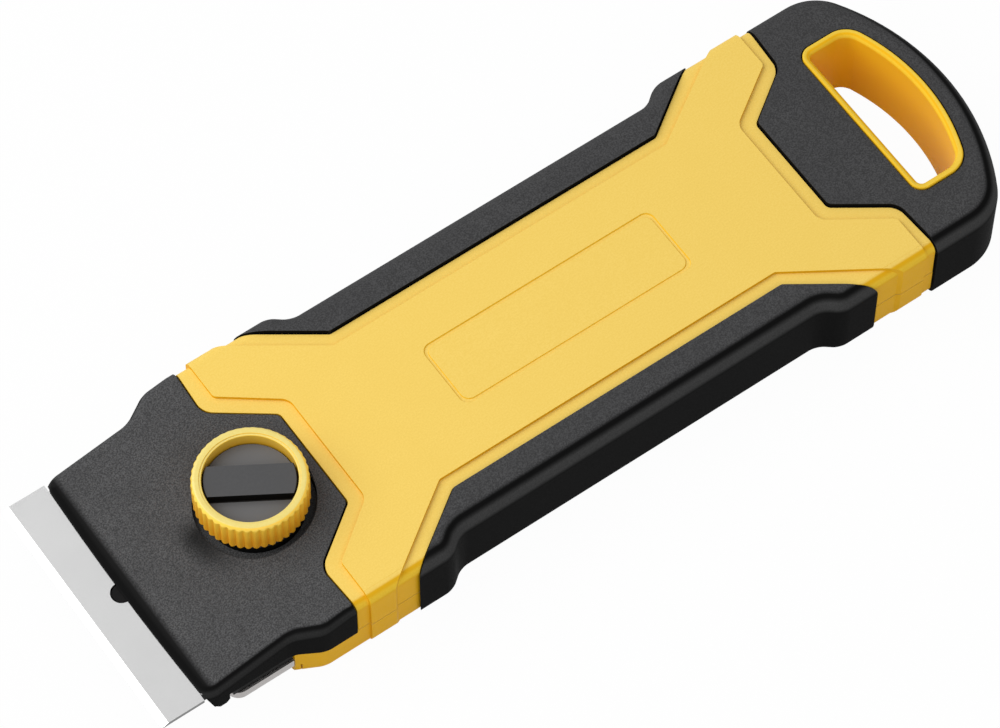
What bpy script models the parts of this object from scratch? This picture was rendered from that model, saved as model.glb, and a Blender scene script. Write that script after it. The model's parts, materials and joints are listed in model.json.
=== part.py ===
"""A heavy scraper: a steel blade clamped in the head of a two-colour moulded handle.

The tool lies along X with its cutting edge at -X, Y is across it and +Z is up.
The underside rests on the plane z = 0, and the origin is the middle of the tool on that plane.
A knob on the head turns a clamp screw, and the black cover rises on its spring to free the blade.
"""

import math

import bmesh
import bpy
from mathutils import Vector

MM = 0.001

# Overall sizes, with every station measured back from the cutting edge
OVERALL_LENGTH = 221.6 * MM
CUTTING_EDGE = -OVERALL_LENGTH / 2
BODY_HEIGHT = 20.0 * MM
BLADE_WIDTH = 60.0 * MM
BODY_SIDE_STEP = 3.5 * MM
BODY_HALF_WIDTH = BLADE_WIDTH / 2 + BODY_SIDE_STEP
BAND_STEP = 0.6 * MM
CLEARANCE = 0.3 * MM
SEAM = CLEARANCE / 2
OVERRUN = 4.0 * MM
SAME_PLACE = 0.003 * MM
WELD_DISTANCE = 0.001 * MM
TURN_MERGE_DISTANCE = 0.01 * MM
FLAT_ANGLE = math.radians(0.11)
UPWARD_NORMAL = 0.5
SIDEWAYS_NORMAL = 0.2

# Blade
BLADE_DEPTH = 20.0 * MM
BLADE_THICKNESS = 1.0 * MM
BLADE_TOP = 12.0 * MM
BLADE_BEVEL = 1.64 * MM
BLADE_EDGE_THICKNESS = 0.12 * MM
BLADE_WIDE_DEPTH = 10.3 * MM
BLADE_HOLE_STATION = 9.9 * MM
BLADE_HOLE_RADIUS = 2.4 * MM

# Clamp cover
COVER_FRONT = 10.6 * MM
COVER_OVERHANG = 0.6 * MM
COVER_HALF_WIDTH = BLADE_WIDTH / 2 + COVER_OVERHANG
COVER_FRONT_RADIUS = 3.0 * MM
COVER_DROP = 0.6 * MM
COVER_TOP = BODY_HEIGHT - COVER_DROP
COVER_SLOPE_END = 43.0 * MM
COVER_NOSE_THICKNESS = 0.83 * MM
COVER_EDGE_RADIUS = 1.8 * MM
COVER_ROOF = 2.4 * MM
SKIRT = 2.0 * MM
NUB_LENGTH = 5.3 * MM
NUB_RAKE = 2.0 * MM
NUB_BOTTOM = 6.3 * MM
SHOULDER_START = 31.2 * MM
SHOULDER_END = 37.2 * MM
SHOULDER_RADIUS = 5.5 * MM
SHOULDER_STEP = 0.5 * MM
SHOULDER_HALF_WIDTH = BODY_HALF_WIDTH + SHOULDER_STEP
COVER_HOLLOW_FRONT = 33.0 * MM
COVER_HOLLOW_SPREAD = 2.0 * MM

# Seam between the cover and the yellow shells, as stations and half widths
NOSE_SEAM_SIDE = 44.4 * MM
NOSE_SEAM_KNEE_INSET = 11.5 * MM
NOSE_SEAM_KNEE_HALF_WIDTH = BODY_HALF_WIDTH - NOSE_SEAM_KNEE_INSET
COVER_HOLLOW_HALF_WIDTH = NOSE_SEAM_KNEE_HALF_WIDTH + COVER_HOLLOW_SPREAD
NOSE_SEAM_KNEE_RADIUS = 4.0 * MM
NOSE_SEAM_REACH = 13.0 * MM
NOSE_SEAM_MIDDLE = NOSE_SEAM_SIDE + NOSE_SEAM_REACH
NOSE_SEAM_MIDDLE_HALF_WIDTH = 12.5 * MM
NOSE_SEAM_MIDDLE_RADIUS = 1.6 * MM

# Seam between the yellow shells and the tail
TAIL_LENGTH = 29.4 * MM
TAIL_SEAM_SIDE = OVERALL_LENGTH - TAIL_LENGTH
TAIL_SEAM_KNEE_INSET = 12.4 * MM
TAIL_SEAM_KNEE_HALF_WIDTH = BODY_HALF_WIDTH - TAIL_SEAM_KNEE_INSET
TAIL_SEAM_KNEE_RADIUS = 4.0 * MM
TAIL_SEAM_REACH = 12.2 * MM
TAIL_SEAM_MIDDLE = TAIL_SEAM_SIDE - TAIL_SEAM_REACH
TAIL_SEAM_MIDDLE_HALF_WIDTH = 12.6 * MM
TAIL_SEAM_MIDDLE_RADIUS = 1.6 * MM

# Seam between the yellow shells and the grips
FRONT_BAND_LENGTH = 15.8 * MM
REAR_BAND_LENGTH = 15.0 * MM
GRIP_FRONT_SLANT = 16.5 * MM
GRIP_REAR_SLANT = 16.8 * MM
GRIP_FRONT = NOSE_SEAM_SIDE + FRONT_BAND_LENGTH
GRIP_WAIST_FRONT = GRIP_FRONT + GRIP_FRONT_SLANT
GRIP_REAR = TAIL_SEAM_SIDE - REAR_BAND_LENGTH
GRIP_WAIST_REAR = GRIP_REAR - GRIP_REAR_SLANT
GRIP_WIDTH = 11.1 * MM
GRIP_SEAM_HALF_WIDTH = BODY_HALF_WIDTH - GRIP_WIDTH
GRIP_SEAM_RADIUS = 1.2 * MM

# Raised yellow panel and the channel round it
PANEL_RISE = 0.8 * MM
PANEL_SOFT_EDGE = 0.35 * MM
PANEL_FRONT_MARGIN = 3.9 * MM
PANEL_FRONT = NOSE_SEAM_SIDE + PANEL_FRONT_MARGIN
PANEL_KNEE_SPREAD = 1.5 * MM
PANEL_FRONT_KNEE_HALF_WIDTH = NOSE_SEAM_KNEE_HALF_WIDTH + PANEL_KNEE_SPREAD
PANEL_NOSE_MARGIN = 3.4 * MM
PANEL_NOSE = NOSE_SEAM_MIDDLE + PANEL_NOSE_MARGIN
PANEL_NOSE_HALF_WIDTH = NOSE_SEAM_MIDDLE_HALF_WIDTH + PANEL_KNEE_SPREAD
PANEL_BAND = 6.1 * MM
PANEL_WAIST_FRONT_LEAD = 1.2 * MM
PANEL_WAIST_FRONT = GRIP_WAIST_FRONT - PANEL_WAIST_FRONT_LEAD
PANEL_WAIST_REAR_LEAD = 0.6 * MM
PANEL_WAIST_REAR = GRIP_WAIST_REAR + PANEL_WAIST_REAR_LEAD
CHANNEL_WIDTH = 3.1 * MM
PANEL_WAIST_HALF_WIDTH = GRIP_SEAM_HALF_WIDTH - CHANNEL_WIDTH
PANEL_REAR_MARGIN = 2.2 * MM
PANEL_REAR = TAIL_SEAM_SIDE - PANEL_REAR_MARGIN
PANEL_REAR_KNEE_SPREAD = 2.5 * MM
PANEL_REAR_KNEE_HALF_WIDTH = TAIL_SEAM_KNEE_HALF_WIDTH + PANEL_REAR_KNEE_SPREAD
PANEL_TAIL_MARGIN = 3.7 * MM
PANEL_TAIL = TAIL_SEAM_MIDDLE - PANEL_TAIL_MARGIN
PANEL_TAIL_SPREAD = 1.8 * MM
PANEL_TAIL_HALF_WIDTH = TAIL_SEAM_MIDDLE_HALF_WIDTH + PANEL_TAIL_SPREAD
PANEL_CORNER_RADIUS = 3.0 * MM
PANEL_KNEE_RADIUS = 1.2 * MM
LABEL_FRONT_MARGIN = 14.5 * MM
LABEL_FRONT = PANEL_WAIST_FRONT + LABEL_FRONT_MARGIN
LABEL_REAR_MARGIN = 13.0 * MM
LABEL_REAR = PANEL_WAIST_REAR - LABEL_REAR_MARGIN
LABEL_HALF_WIDTH = 8.0 * MM
LABEL_RADIUS = 2.2 * MM
LABEL_DEPTH = 0.3 * MM

# Yellow shells
SPLIT_HEIGHT = 8.95 * MM
SHELL_WALL = 2.5 * MM
SHELL_EDGE_RADIUS = 2.5 * MM
BOTTOM_SHELL_FRONT = 31.6 * MM
SHELL_FLOOR = 2.4 * MM
SHELL_HOLLOW_FRONT_MARGIN = 11.6 * MM
SHELL_HOLLOW_FRONT = NOSE_SEAM_MIDDLE + SHELL_HOLLOW_FRONT_MARGIN
SHELL_HOLLOW_REAR_MARGIN = 7.0 * MM
SHELL_HOLLOW_REAR = TAIL_SEAM_MIDDLE - SHELL_HOLLOW_REAR_MARGIN
CORE_INSET = 5.8 * MM
CORE_HALF_WIDTH = BODY_HALF_WIDTH - CORE_INSET
CORE_ROOT_INSET = 1.4 * MM
CORE_ROOT_HALF_WIDTH = GRIP_SEAM_HALF_WIDTH - CORE_ROOT_INSET
CORE_BOTTOM = 3.0 * MM
CORE_DROP = 3.0 * MM
CORE_TOP = BODY_HEIGHT - CORE_DROP
CORE_END_INSET = 6.0 * MM
TONGUE_SIDE_MARGIN = 2.9 * MM
TONGUE_HALF_WIDTH = TAIL_SEAM_MIDDLE_HALF_WIDTH - TONGUE_SIDE_MARGIN
TONGUE_REACH = 1.8 * MM
TONGUE_REAR = TAIL_SEAM_SIDE + TONGUE_REACH
TONGUE_BOTTOM = 4.0 * MM
TONGUE_DROP = 4.0 * MM
TONGUE_TOP = BODY_HEIGHT - TONGUE_DROP

# Grips and tail
GRIP_PROUD = 0.2 * MM
GRIP_SHOULDER_STEP = 0.7 * MM
GRIP_SHOULDER_HALF_WIDTH = BODY_HALF_WIDTH + GRIP_SHOULDER_STEP
GRIP_HOLLOW_DEPTH = 3.2 * MM
GRIP_HOLLOW_HALF_WIDTH = GRIP_SHOULDER_HALF_WIDTH - GRIP_HOLLOW_DEPTH
GRIP_SHOULDER_LENGTH = 8.4 * MM
GRIP_REAR_SHOULDER_LENGTH = 8.8 * MM
GRIP_BLEND_LENGTH = 4.0 * MM
GRIP_BLEND_RADIUS = 5.0 * MM
GRIP_EDGE_RADIUS = 4.5 * MM
TAIL_END_RADIUS = 48.0 * MM
TAIL_CORNER_RADIUS = 13.0 * MM
TAIL_EDGE_RADIUS = 3.8 * MM

# Liner of the hanging hole
TAIL_RIM = 6.3 * MM
LINER_LENGTH = 18.0 * MM
LINER_REAR = OVERALL_LENGTH - TAIL_RIM
LINER_FRONT = LINER_REAR - LINER_LENGTH
LINER_SIDE_MARGIN = 12.0 * MM
LINER_HALF_WIDTH = BODY_HALF_WIDTH - LINER_SIDE_MARGIN
LINER_CORNER_RADIUS = 6.0 * MM
LINER_FRONT_RADIUS = 3.0 * MM
LINER_WALL = 1.7 * MM
LINER_PROUD = 0.4 * MM
LINER_LIP_RADIUS = 0.6 * MM
LINER_SHOULDER = 0.9 * MM
LINER_SHOULDER_HEIGHT = 6.0 * MM

# Knob, clamp screw and what the screw carries
KNOB_STATION = 42.1 * MM
KNOB_HEIGHT = 8.1 * MM
KNOB_RADIUS = 12.2 * MM
KNOB_FLUTES = 44
KNOB_FLUTE_DEPTH = 0.45 * MM
KNOB_WALL = 2.25 * MM
KNOB_LIP = 1.3 * MM
KNOB_LEDGE = 1.4 * MM
KNOB_LEDGE_HEIGHT = 1.6 * MM
INSERT_DROP = 0.9 * MM
INSERT_BAR_WIDTH = 4.6 * MM
INSERT_RIM = 1.2 * MM
INSERT_POCKET_DEPTH = 2.4 * MM
SEAT_DROP = 0.9 * MM
SEAT_HEIGHT = COVER_TOP - SEAT_DROP
SEAT_RADIUS = 15.2 * MM
SEAT_FOOT_RADIUS = 20.0 * MM
SEAT_RECESS_RADIUS = 13.4 * MM
SCREW_RADIUS = 3.0 * MM
SCREW_HEAD_ACROSS_FLATS = 10.0 * MM
SCREW_HEAD_HEIGHT = 2.6 * MM
SCREW_TIP = 2.6 * MM
SCREW_TIP_CHAMFER = 0.8 * MM
NUT_ACROSS_FLATS = 10.0 * MM
NUT_HEIGHT = 3.2 * MM
SPRING_RADIUS = 5.0 * MM
SPRING_WIRE = 0.8 * MM
SPRING_TURNS = 3.5
SPRING_WELL_DEPTH = 1.0 * MM
WASHER_RADIUS = 7.8 * MM
WASHER_THICKNESS = 0.8 * MM
CLIP_RADIUS = 4.1 * MM
CLIP_THICKNESS = 0.7 * MM
CLIP_GROOVE_DEPTH = 0.7 * MM
CLIP_SLOT = 2.0 * MM

# Steel tray and the black jaw that lies in it
TRAY_FRONT = 16.6 * MM
TRAY_BOTTOM = 3.7 * MM
TRAY_THICKNESS = 1.2 * MM
TRAY_RIM_DROP = 2.15 * MM
TRAY_RIM_TOP = SPLIT_HEIGHT - TRAY_RIM_DROP
TRAY_OVERHANG = 0.2 * MM
TRAY_HALF_WIDTH = COVER_HALF_WIDTH + TRAY_OVERHANG
TRAY_FRONT_RADIUS = 3.0 * MM
TRAY_BEND_RADIUS = 0.9 * MM
TANG_SIDE_MARGIN = 7.5 * MM
TANG_HALF_WIDTH = BODY_HALF_WIDTH - TANG_SIDE_MARGIN
TANG_TAPER_START = 50.0 * MM
TANG_REAR = 64.0 * MM
TANG_REAR_HALF_WIDTH = 14.0 * MM
JAW_NOSE = 6.4 * MM
JAW_NOSE_THICKNESS = 1.8 * MM
JAW_REAR = 55.0 * MM
JAW_OVERLAP = 0.5 * MM
JAW_BOSS_RADIUS = 9.0 * MM
JAW_BED_REAR = BOTTOM_SHELL_FRONT - CLEARANCE
PEG_STEP = 0.15 * MM

# Fasteners
SCREW_SHANK_RADIUS = 1.5 * MM
SCREW_PAN_RADIUS = 2.9 * MM
SCREW_PAN_HEIGHT = 1.7 * MM
SCREW_POINT = 2.0 * MM
COUNTERBORE_DEPTH = 2.3 * MM
BOSS_WALL = 2.4 * MM
SHELL_SCREW_FRONT_MARGIN = 8.0 * MM
SHELL_SCREW_REAR_MARGIN = 7.0 * MM
SHELL_SCREW_FRONT = SHELL_HOLLOW_FRONT + SHELL_SCREW_FRONT_MARGIN
SHELL_SCREW_REAR = SHELL_HOLLOW_REAR - SHELL_SCREW_REAR_MARGIN
SHELL_SCREW_MIDDLE = (SHELL_SCREW_FRONT + SHELL_SCREW_REAR) / 2
SHELL_SCREW_STATIONS = (SHELL_SCREW_FRONT, SHELL_SCREW_MIDDLE, SHELL_SCREW_REAR)
SHELL_SCREW_SIDE_MARGIN = 8.2 * MM
SHELL_SCREW_HALF_SPREAD = GRIP_SEAM_HALF_WIDTH - SHELL_SCREW_SIDE_MARGIN
SHELL_SCREW_DROP = 5.0 * MM
SHELL_SCREW_TIP = BODY_HEIGHT - SHELL_SCREW_DROP
TAIL_SCREW_MARGIN = 7.4 * MM
TAIL_SCREW_STATION = TAIL_SEAM_MIDDLE + TAIL_SCREW_MARGIN
TAIL_SCREW_HALF_SPREAD = 5.2 * MM
TAIL_SCREW_DROP = 2.4 * MM
TAIL_SCREW_TIP = TONGUE_TOP - TAIL_SCREW_DROP
FRONT_JAW_SCREW_STATION = 24.0 * MM
FRONT_JAW_SCREW_SIDE_MARGIN = 11.0 * MM
FRONT_JAW_SCREW_HALF_SPREAD = BLADE_WIDTH / 2 - FRONT_JAW_SCREW_SIDE_MARGIN
FRONT_JAW_SCREW_TIP = 8.6 * MM
REAR_JAW_SCREW_STATION = 50.0 * MM
REAR_JAW_SCREW_HALF_SPREAD = 6.0 * MM

ARC_STEP = math.radians(20)
ROUND_STEPS = 24
SMALL_STEPS = 12
FLUTE_STEPS = 3
POCKET_STEPS = 10
TURN_POINTS = 9
HEAD_CROWN_SHARE = 0.8
SEAT_FALL_SHARE = 0.83
LIP_INNER_SHARE = 0.4
LIP_OUTER_SHARE = 0.7
LIP_SHOULDER_SHARE = 0.2

# Levels that follow from the sizes above
COVER_BOTTOM = SPLIT_HEIGHT + SEAM
CHANNEL_TOP = BODY_HEIGHT - PANEL_RISE
GRIP_TOP = BODY_HEIGHT + GRIP_PROUD
CLAMP_PLANE = BLADE_TOP + CLEARANCE
COVER_NOSE_TOP = CLAMP_PLANE + COVER_NOSE_THICKNESS
COVER_SLOPE = (COVER_TOP - COVER_NOSE_TOP) / (COVER_SLOPE_END - COVER_FRONT)
JAW_TOP = BLADE_TOP - BLADE_THICKNESS - CLEARANCE
JAW_BOTTOM = TRAY_BOTTOM + TRAY_THICKNESS + CLEARANCE
FLANGE_TOP = COVER_BOTTOM - CLEARANCE
FLANGE_BOTTOM = TRAY_RIM_TOP + CLEARANCE
TRAY_POCKET_FLOOR = TRAY_BOTTOM - CLEARANCE
ROOF_UNDERSIDE = SEAT_HEIGHT - COVER_ROOF
NUT_TOP = JAW_BOTTOM + NUT_HEIGHT
KNOB_BOTTOM = SEAT_HEIGHT + CLEARANCE
HEAD_BOTTOM = KNOB_BOTTOM + WASHER_THICKNESS + CLEARANCE
KNOB_TOP = KNOB_BOTTOM + KNOB_HEIGHT
KNOB_X = CUTTING_EDGE + KNOB_STATION


def x_at(station):
    """The X of a place measured back from the cutting edge."""
    return CUTTING_EDGE + station


def start_scene():
    for obj in list(bpy.data.objects):
        bpy.data.objects.remove(obj)
    parts = bpy.data.collections.new("scraper")
    cutters = bpy.data.collections.new("cutters")
    bpy.context.scene.collection.children.link(parts)
    bpy.context.scene.collection.children.link(cutters)
    return parts, cutters


PARTS, CUTTERS = start_scene()


def finish_material(name, colour, roughness, metallic=0.0):
    material = bpy.data.materials.new(name)
    material.use_nodes = True
    shader = material.node_tree.nodes["Principled BSDF"]
    shader.inputs["Base Color"].default_value = (*colour, 1.0)
    shader.inputs["Roughness"].default_value = roughness
    shader.inputs["Metallic"].default_value = metallic
    return material


YELLOW = finish_material("yellow_moulding", (0.88, 0.62, 0.13), 0.45)
BLACK = finish_material("black_moulding", (0.055, 0.055, 0.057), 0.5)
SOFT_BLACK = finish_material("black_soft_grip", (0.045, 0.045, 0.047), 0.65)
STEEL = finish_material("blade_steel", (0.72, 0.72, 0.73), 0.28, 1.0)
PLATE_STEEL = finish_material("plate_steel", (0.55, 0.54, 0.53), 0.4, 1.0)
FASTENER_STEEL = finish_material("fastener_steel", (0.45, 0.45, 0.46), 0.35, 1.0)


# Outlines: corners are (x, y, radius, inset of the edge that starts there), anticlockwise
def moved_edges(corners):
    """Each edge as a point and a direction, moved inwards by its own inset."""
    edges = []
    for index, (x, y, _, inset) in enumerate(corners):
        following = corners[(index + 1) % len(corners)]
        along = (Vector(following[:2]) - Vector((x, y))).normalized()
        inward = Vector((-along.y, along.x))
        edges.append((Vector((x, y)) + inward * inset, along))
    return edges


def meeting(edge, other):
    """The point where two edges, made longer, cross."""
    (point, along), (second, across) = edge, other
    turn = along.cross(across)
    return point + along * ((second - point).cross(across) / turn)


def outline(corners):
    """The closed outline, with its insets taken and its corners turned into arcs."""
    edges = moved_edges(corners)
    points = []
    for index, (_, _, radius, _) in enumerate(corners):
        before, after = edges[index - 1], edges[index]
        corner = meeting(before, after)
        turn = math.atan2(before[1].cross(after[1]), before[1].dot(after[1]))
        if radius <= 0.0 or abs(turn) < math.radians(1):
            points.append(corner)
            continue
        start = corner - before[1] * radius * math.tan(abs(turn) / 2)
        inward = Vector((-before[1].y, before[1].x)) * math.copysign(radius, turn)
        centre = start + inward
        steps = max(2, math.ceil(abs(turn) / ARC_STEP))
        first = math.atan2(-inward.y, -inward.x)
        for step in range(steps + 1):
            angle = first + turn * step / steps
            points.append(centre + radius * Vector((math.cos(angle), math.sin(angle))))
    return points


def both_sides(half):
    """Corners from the rear middle round the +Y side to the front middle, then mirrored.

    An edge belongs to the corner where it starts, so the mirrored edges take the inset of the
    corner before.
    """
    corners = list(half)
    for index in range(len(half) - 1, -1, -1):
        x, y, radius, _ = half[index]
        inset = half[index - 1][3] if index > 0 else half[0][3]
        corners.append((x, -y, radius, inset))
    return corners


def mesh_object(name, mesh, collection):
    obj = bpy.data.objects.new(name, mesh)
    collection.objects.link(obj)
    return obj


def slab(name, points, bottom, top, collection=PARTS):
    """A flat outline, drawn as a filled curve and given its thickness, then made one mesh."""
    curve = bpy.data.curves.new(name, "CURVE")
    curve.dimensions = "2D"
    curve.fill_mode = "BOTH"
    curve.extrude = (top - bottom) / 2
    spline = curve.splines.new("POLY")
    spline.points.add(len(points) - 1)
    for target, point in zip(spline.points, points):
        target.co = (point[0], point[1], 0.0, 1.0)
    spline.use_cyclic_u = True
    drawn = mesh_object(name + "_drawn", curve, collection)
    drawn.location.z = (top + bottom) / 2
    bpy.context.view_layer.update()
    evaluated = drawn.evaluated_get(bpy.context.evaluated_depsgraph_get())
    mesh = bpy.data.meshes.new_from_object(evaluated)
    obj = mesh_object(name, mesh, collection)
    obj.matrix_world = drawn.matrix_world
    bpy.data.objects.remove(drawn)
    with_bmesh(obj, weld_and_flatten)
    if collection is CUTTERS:
        hide_cutter(obj)
    return obj


def with_bmesh(obj, edit, *values):
    """Runs one edit on a mesh object's mesh."""
    bm = bmesh.new()
    bm.from_mesh(obj.data)
    edit(bm, *values)
    bm.to_mesh(obj.data)
    bm.free()


def weld_and_flatten(bm):
    bmesh.ops.remove_doubles(bm, verts=bm.verts, dist=WELD_DISTANCE)
    bmesh.ops.dissolve_limit(bm, angle_limit=FLAT_ANGLE, verts=bm.verts, edges=bm.edges)
    bmesh.ops.recalc_face_normals(bm, faces=bm.faces)


def hide_cutter(obj):
    obj.hide_render = True
    obj.display_type = "WIRE"


def round_edges(obj, chosen, radius, segments=3):
    """Rounds the edges for which chosen(middle, edge) holds, in world coordinates."""

    def edit(bm):
        place = obj.matrix_world
        edges = []
        for edge in bm.edges:
            middle = place @ ((edge.verts[0].co + edge.verts[1].co) / 2)
            if chosen(middle, edge):
                edges.append(edge)
        bmesh.ops.bevel(
            bm,
            geom=edges,
            offset=radius,
            offset_type="OFFSET",
            segments=segments,
            profile=0.5,
            affect="EDGES",
            clamp_overlap=True,
            material=-1,
        )

    with_bmesh(obj, edit)


def at_level(level):
    """Chooses level edges at one height."""

    def chosen(middle, edge):
        flat = abs(edge.verts[0].co.z - edge.verts[1].co.z) < SAME_PLACE
        return flat and abs(middle.z - level) < SAME_PLACE

    return chosen


def block(name, low, high, collection=CUTTERS):
    """A box between two corners."""
    bm = bmesh.new()
    bmesh.ops.create_cube(bm, size=1.0)
    low, high = Vector(low), Vector(high)
    size = high - low
    bmesh.ops.scale(bm, vec=size, verts=bm.verts)
    bmesh.ops.translate(bm, vec=(low + high) / 2, verts=bm.verts)
    mesh = bpy.data.meshes.new(name)
    bm.to_mesh(mesh)
    bm.free()
    obj = mesh_object(name, mesh, collection)
    if collection is CUTTERS:
        hide_cutter(obj)
    return obj


def rod(name, x, y, radius, bottom, top, sides=ROUND_STEPS, foot=None, collection=CUTTERS):
    """An upright cylinder, or a cone where the foot's radius is another."""
    bm = bmesh.new()
    bmesh.ops.create_cone(
        bm,
        cap_ends=True,
        segments=sides,
        radius1=radius if foot is None else foot,
        radius2=radius,
        depth=top - bottom,
    )
    mesh = bpy.data.meshes.new(name)
    bm.to_mesh(mesh)
    bm.free()
    obj = mesh_object(name, mesh, collection)
    obj.location = (x, y, (bottom + top) / 2)
    if collection is CUTTERS:
        hide_cutter(obj)
    return obj


def turned(name, profile, steps, x=0.0, y=0.0, collection=PARTS):
    """A turned piece: a profile of (radius, z), run top to bottom on its outer side."""
    bm = bmesh.new()
    points = [bm.verts.new((radius, 0.0, z)) for radius, z in profile]
    for first, second in zip(points, points[1:]):
        bm.edges.new((first, second))
    if profile[0][0] > 0.0:
        bm.edges.new((points[-1], points[0]))
    mesh = bpy.data.meshes.new(name)
    bm.to_mesh(mesh)
    bm.free()
    obj = mesh_object(name, mesh, collection)
    obj.location = (x, y, 0.0)
    screw = obj.modifiers.new("turn", "SCREW")
    screw.axis = "Z"
    screw.angle = math.tau
    screw.steps = steps
    screw.render_steps = steps
    screw.use_merge_vertices = True
    screw.merge_threshold = TURN_MERGE_DISTANCE
    return obj


def bake(obj):
    """Makes the modifiers of an object its mesh."""
    bpy.context.view_layer.update()
    evaluated = obj.evaluated_get(bpy.context.evaluated_depsgraph_get())
    mesh = bpy.data.meshes.new_from_object(evaluated)
    obj.modifiers.clear()
    obj.data = mesh


def combine(obj, tool, operation):
    modifier = obj.modifiers.new(operation.lower(), "BOOLEAN")
    modifier.operation = operation
    modifier.solver = "EXACT"
    modifier.object = tool


def cut(obj, *tools):
    for tool in tools:
        combine(obj, tool, "DIFFERENCE")


def join(obj, *tools):
    """Joins helper solids on. A helper is hidden as a cutter is, because its form is now in obj."""
    for tool in tools:
        combine(obj, tool, "UNION")


def finish(obj, material, angle=35.0):
    obj.data.materials.clear()
    obj.data.materials.append(material)
    obj.data.shade_smooth()
    obj.data.set_sharp_from_angle(angle=math.radians(angle))
    return obj


def hexagon(name, x, across_flats, bottom, top, collection=CUTTERS):
    radius = across_flats / math.sqrt(3)
    return rod(name, x, 0.0, radius, bottom, top, sides=6, collection=collection)


def pan_head_screw(name, x, y, head_bottom, tip):
    """A screw driven from the underside."""
    head_top = head_bottom + SCREW_PAN_HEIGHT
    profile = (
        (0.0, tip),
        (SCREW_SHANK_RADIUS, tip - SCREW_POINT),
        (SCREW_SHANK_RADIUS, head_top),
        (SCREW_PAN_RADIUS, head_top),
        (SCREW_PAN_RADIUS * HEAD_CROWN_SHARE, head_bottom),
        (0.0, head_bottom),
    )
    return finish(turned(name, profile, SMALL_STEPS, x, y), FASTENER_STEEL)


def slice_off(obj, point, normal):
    """Cuts away what lies beyond a plane and closes the cut."""

    def edit(bm):
        to_local = obj.matrix_world.inverted()
        bmesh.ops.bisect_plane(
            bm,
            geom=[*bm.verts, *bm.edges, *bm.faces],
            plane_co=to_local @ Vector(point),
            plane_no=Vector(normal).normalized(),
            clear_outer=True,
        )
        rim = [edge for edge in bm.edges if edge.is_boundary]
        bmesh.ops.holes_fill(bm, edges=rim, sides=0)
        bmesh.ops.recalc_face_normals(bm, faces=bm.faces)

    with_bmesh(obj, edit)


def pair(name, station, half_spread, radius, bottom, top):
    """Two upright round cutters, one on each side of the middle."""
    sides = (half_spread, -half_spread)
    return [rod(name, x_at(station), y, radius, bottom, top, SMALL_STEPS) for y in sides]


def screw_cutters(station, half_spread, tip):
    """Counterbores and clearance holes for a pair of screws driven from the underside."""
    hole = SCREW_SHANK_RADIUS + CLEARANCE
    head = SCREW_PAN_RADIUS + CLEARANCE
    bores = pair("screw_bore", station, half_spread, hole, -OVERRUN, tip + CLEARANCE)
    heads = pair("screw_head_bore", station, half_spread, head, -OVERRUN, COUNTERBORE_DEPTH)
    return bores + heads


# Blade
def make_blade():
    tang = COVER_HALF_WIDTH - SKIRT - CLEARANCE
    corners = both_sides(
        (
            (x_at(BLADE_DEPTH), tang, 0.0, 0.0),
            (x_at(BLADE_WIDE_DEPTH), tang, 0.0, 0.0),
            (x_at(BLADE_WIDE_DEPTH), BLADE_WIDTH / 2, 0.0, 0.0),
            (x_at(0.0), BLADE_WIDTH / 2, 0.0, 0.0),
        )
    )
    bottom = BLADE_TOP - BLADE_THICKNESS
    blade = slab("blade", outline(corners), bottom, BLADE_TOP)
    fall = BLADE_THICKNESS - BLADE_EDGE_THICKNESS
    slice_off(blade, (x_at(BLADE_BEVEL), 0.0, BLADE_TOP), (-fall, 0.0, BLADE_BEVEL))
    hole_x = x_at(BLADE_HOLE_STATION)
    cut(blade, rod("blade_hole", hole_x, 0.0, BLADE_HOLE_RADIUS, bottom - OVERRUN, BLADE_TOP + OVERRUN))
    return finish(blade, STEEL)


# Clamp cover
def cover_corners(inset):
    """The cover's outline. The inset moves its walls in, and the seam takes its own gap too."""
    seam = SEAM + inset
    return both_sides(
        (
            (x_at(NOSE_SEAM_MIDDLE), NOSE_SEAM_MIDDLE_HALF_WIDTH, NOSE_SEAM_MIDDLE_RADIUS, seam),
            (x_at(NOSE_SEAM_SIDE), NOSE_SEAM_KNEE_HALF_WIDTH, NOSE_SEAM_KNEE_RADIUS, seam),
            (x_at(NOSE_SEAM_SIDE), SHOULDER_HALF_WIDTH, 0.0, inset),
            (x_at(SHOULDER_END), SHOULDER_HALF_WIDTH, SHOULDER_RADIUS, inset),
            (x_at(SHOULDER_START), COVER_HALF_WIDTH, SHOULDER_RADIUS, inset),
            (x_at(COVER_FRONT), COVER_HALF_WIDTH, COVER_FRONT_RADIUS, 0.0),
        )
    )


def on_cover_rim(middle, edge):
    """The edges between the top and the outer walls, apart from the seam with the shell."""
    if middle.x > x_at(NOSE_SEAM_SIDE) - SEAM - SAME_PLACE or len(edge.link_faces) != 2:
        return False
    rises = sorted(face.normal.z for face in edge.link_faces)
    return rises[1] > UPWARD_NORMAL and abs(rises[0]) < SIDEWAYS_NORMAL


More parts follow.
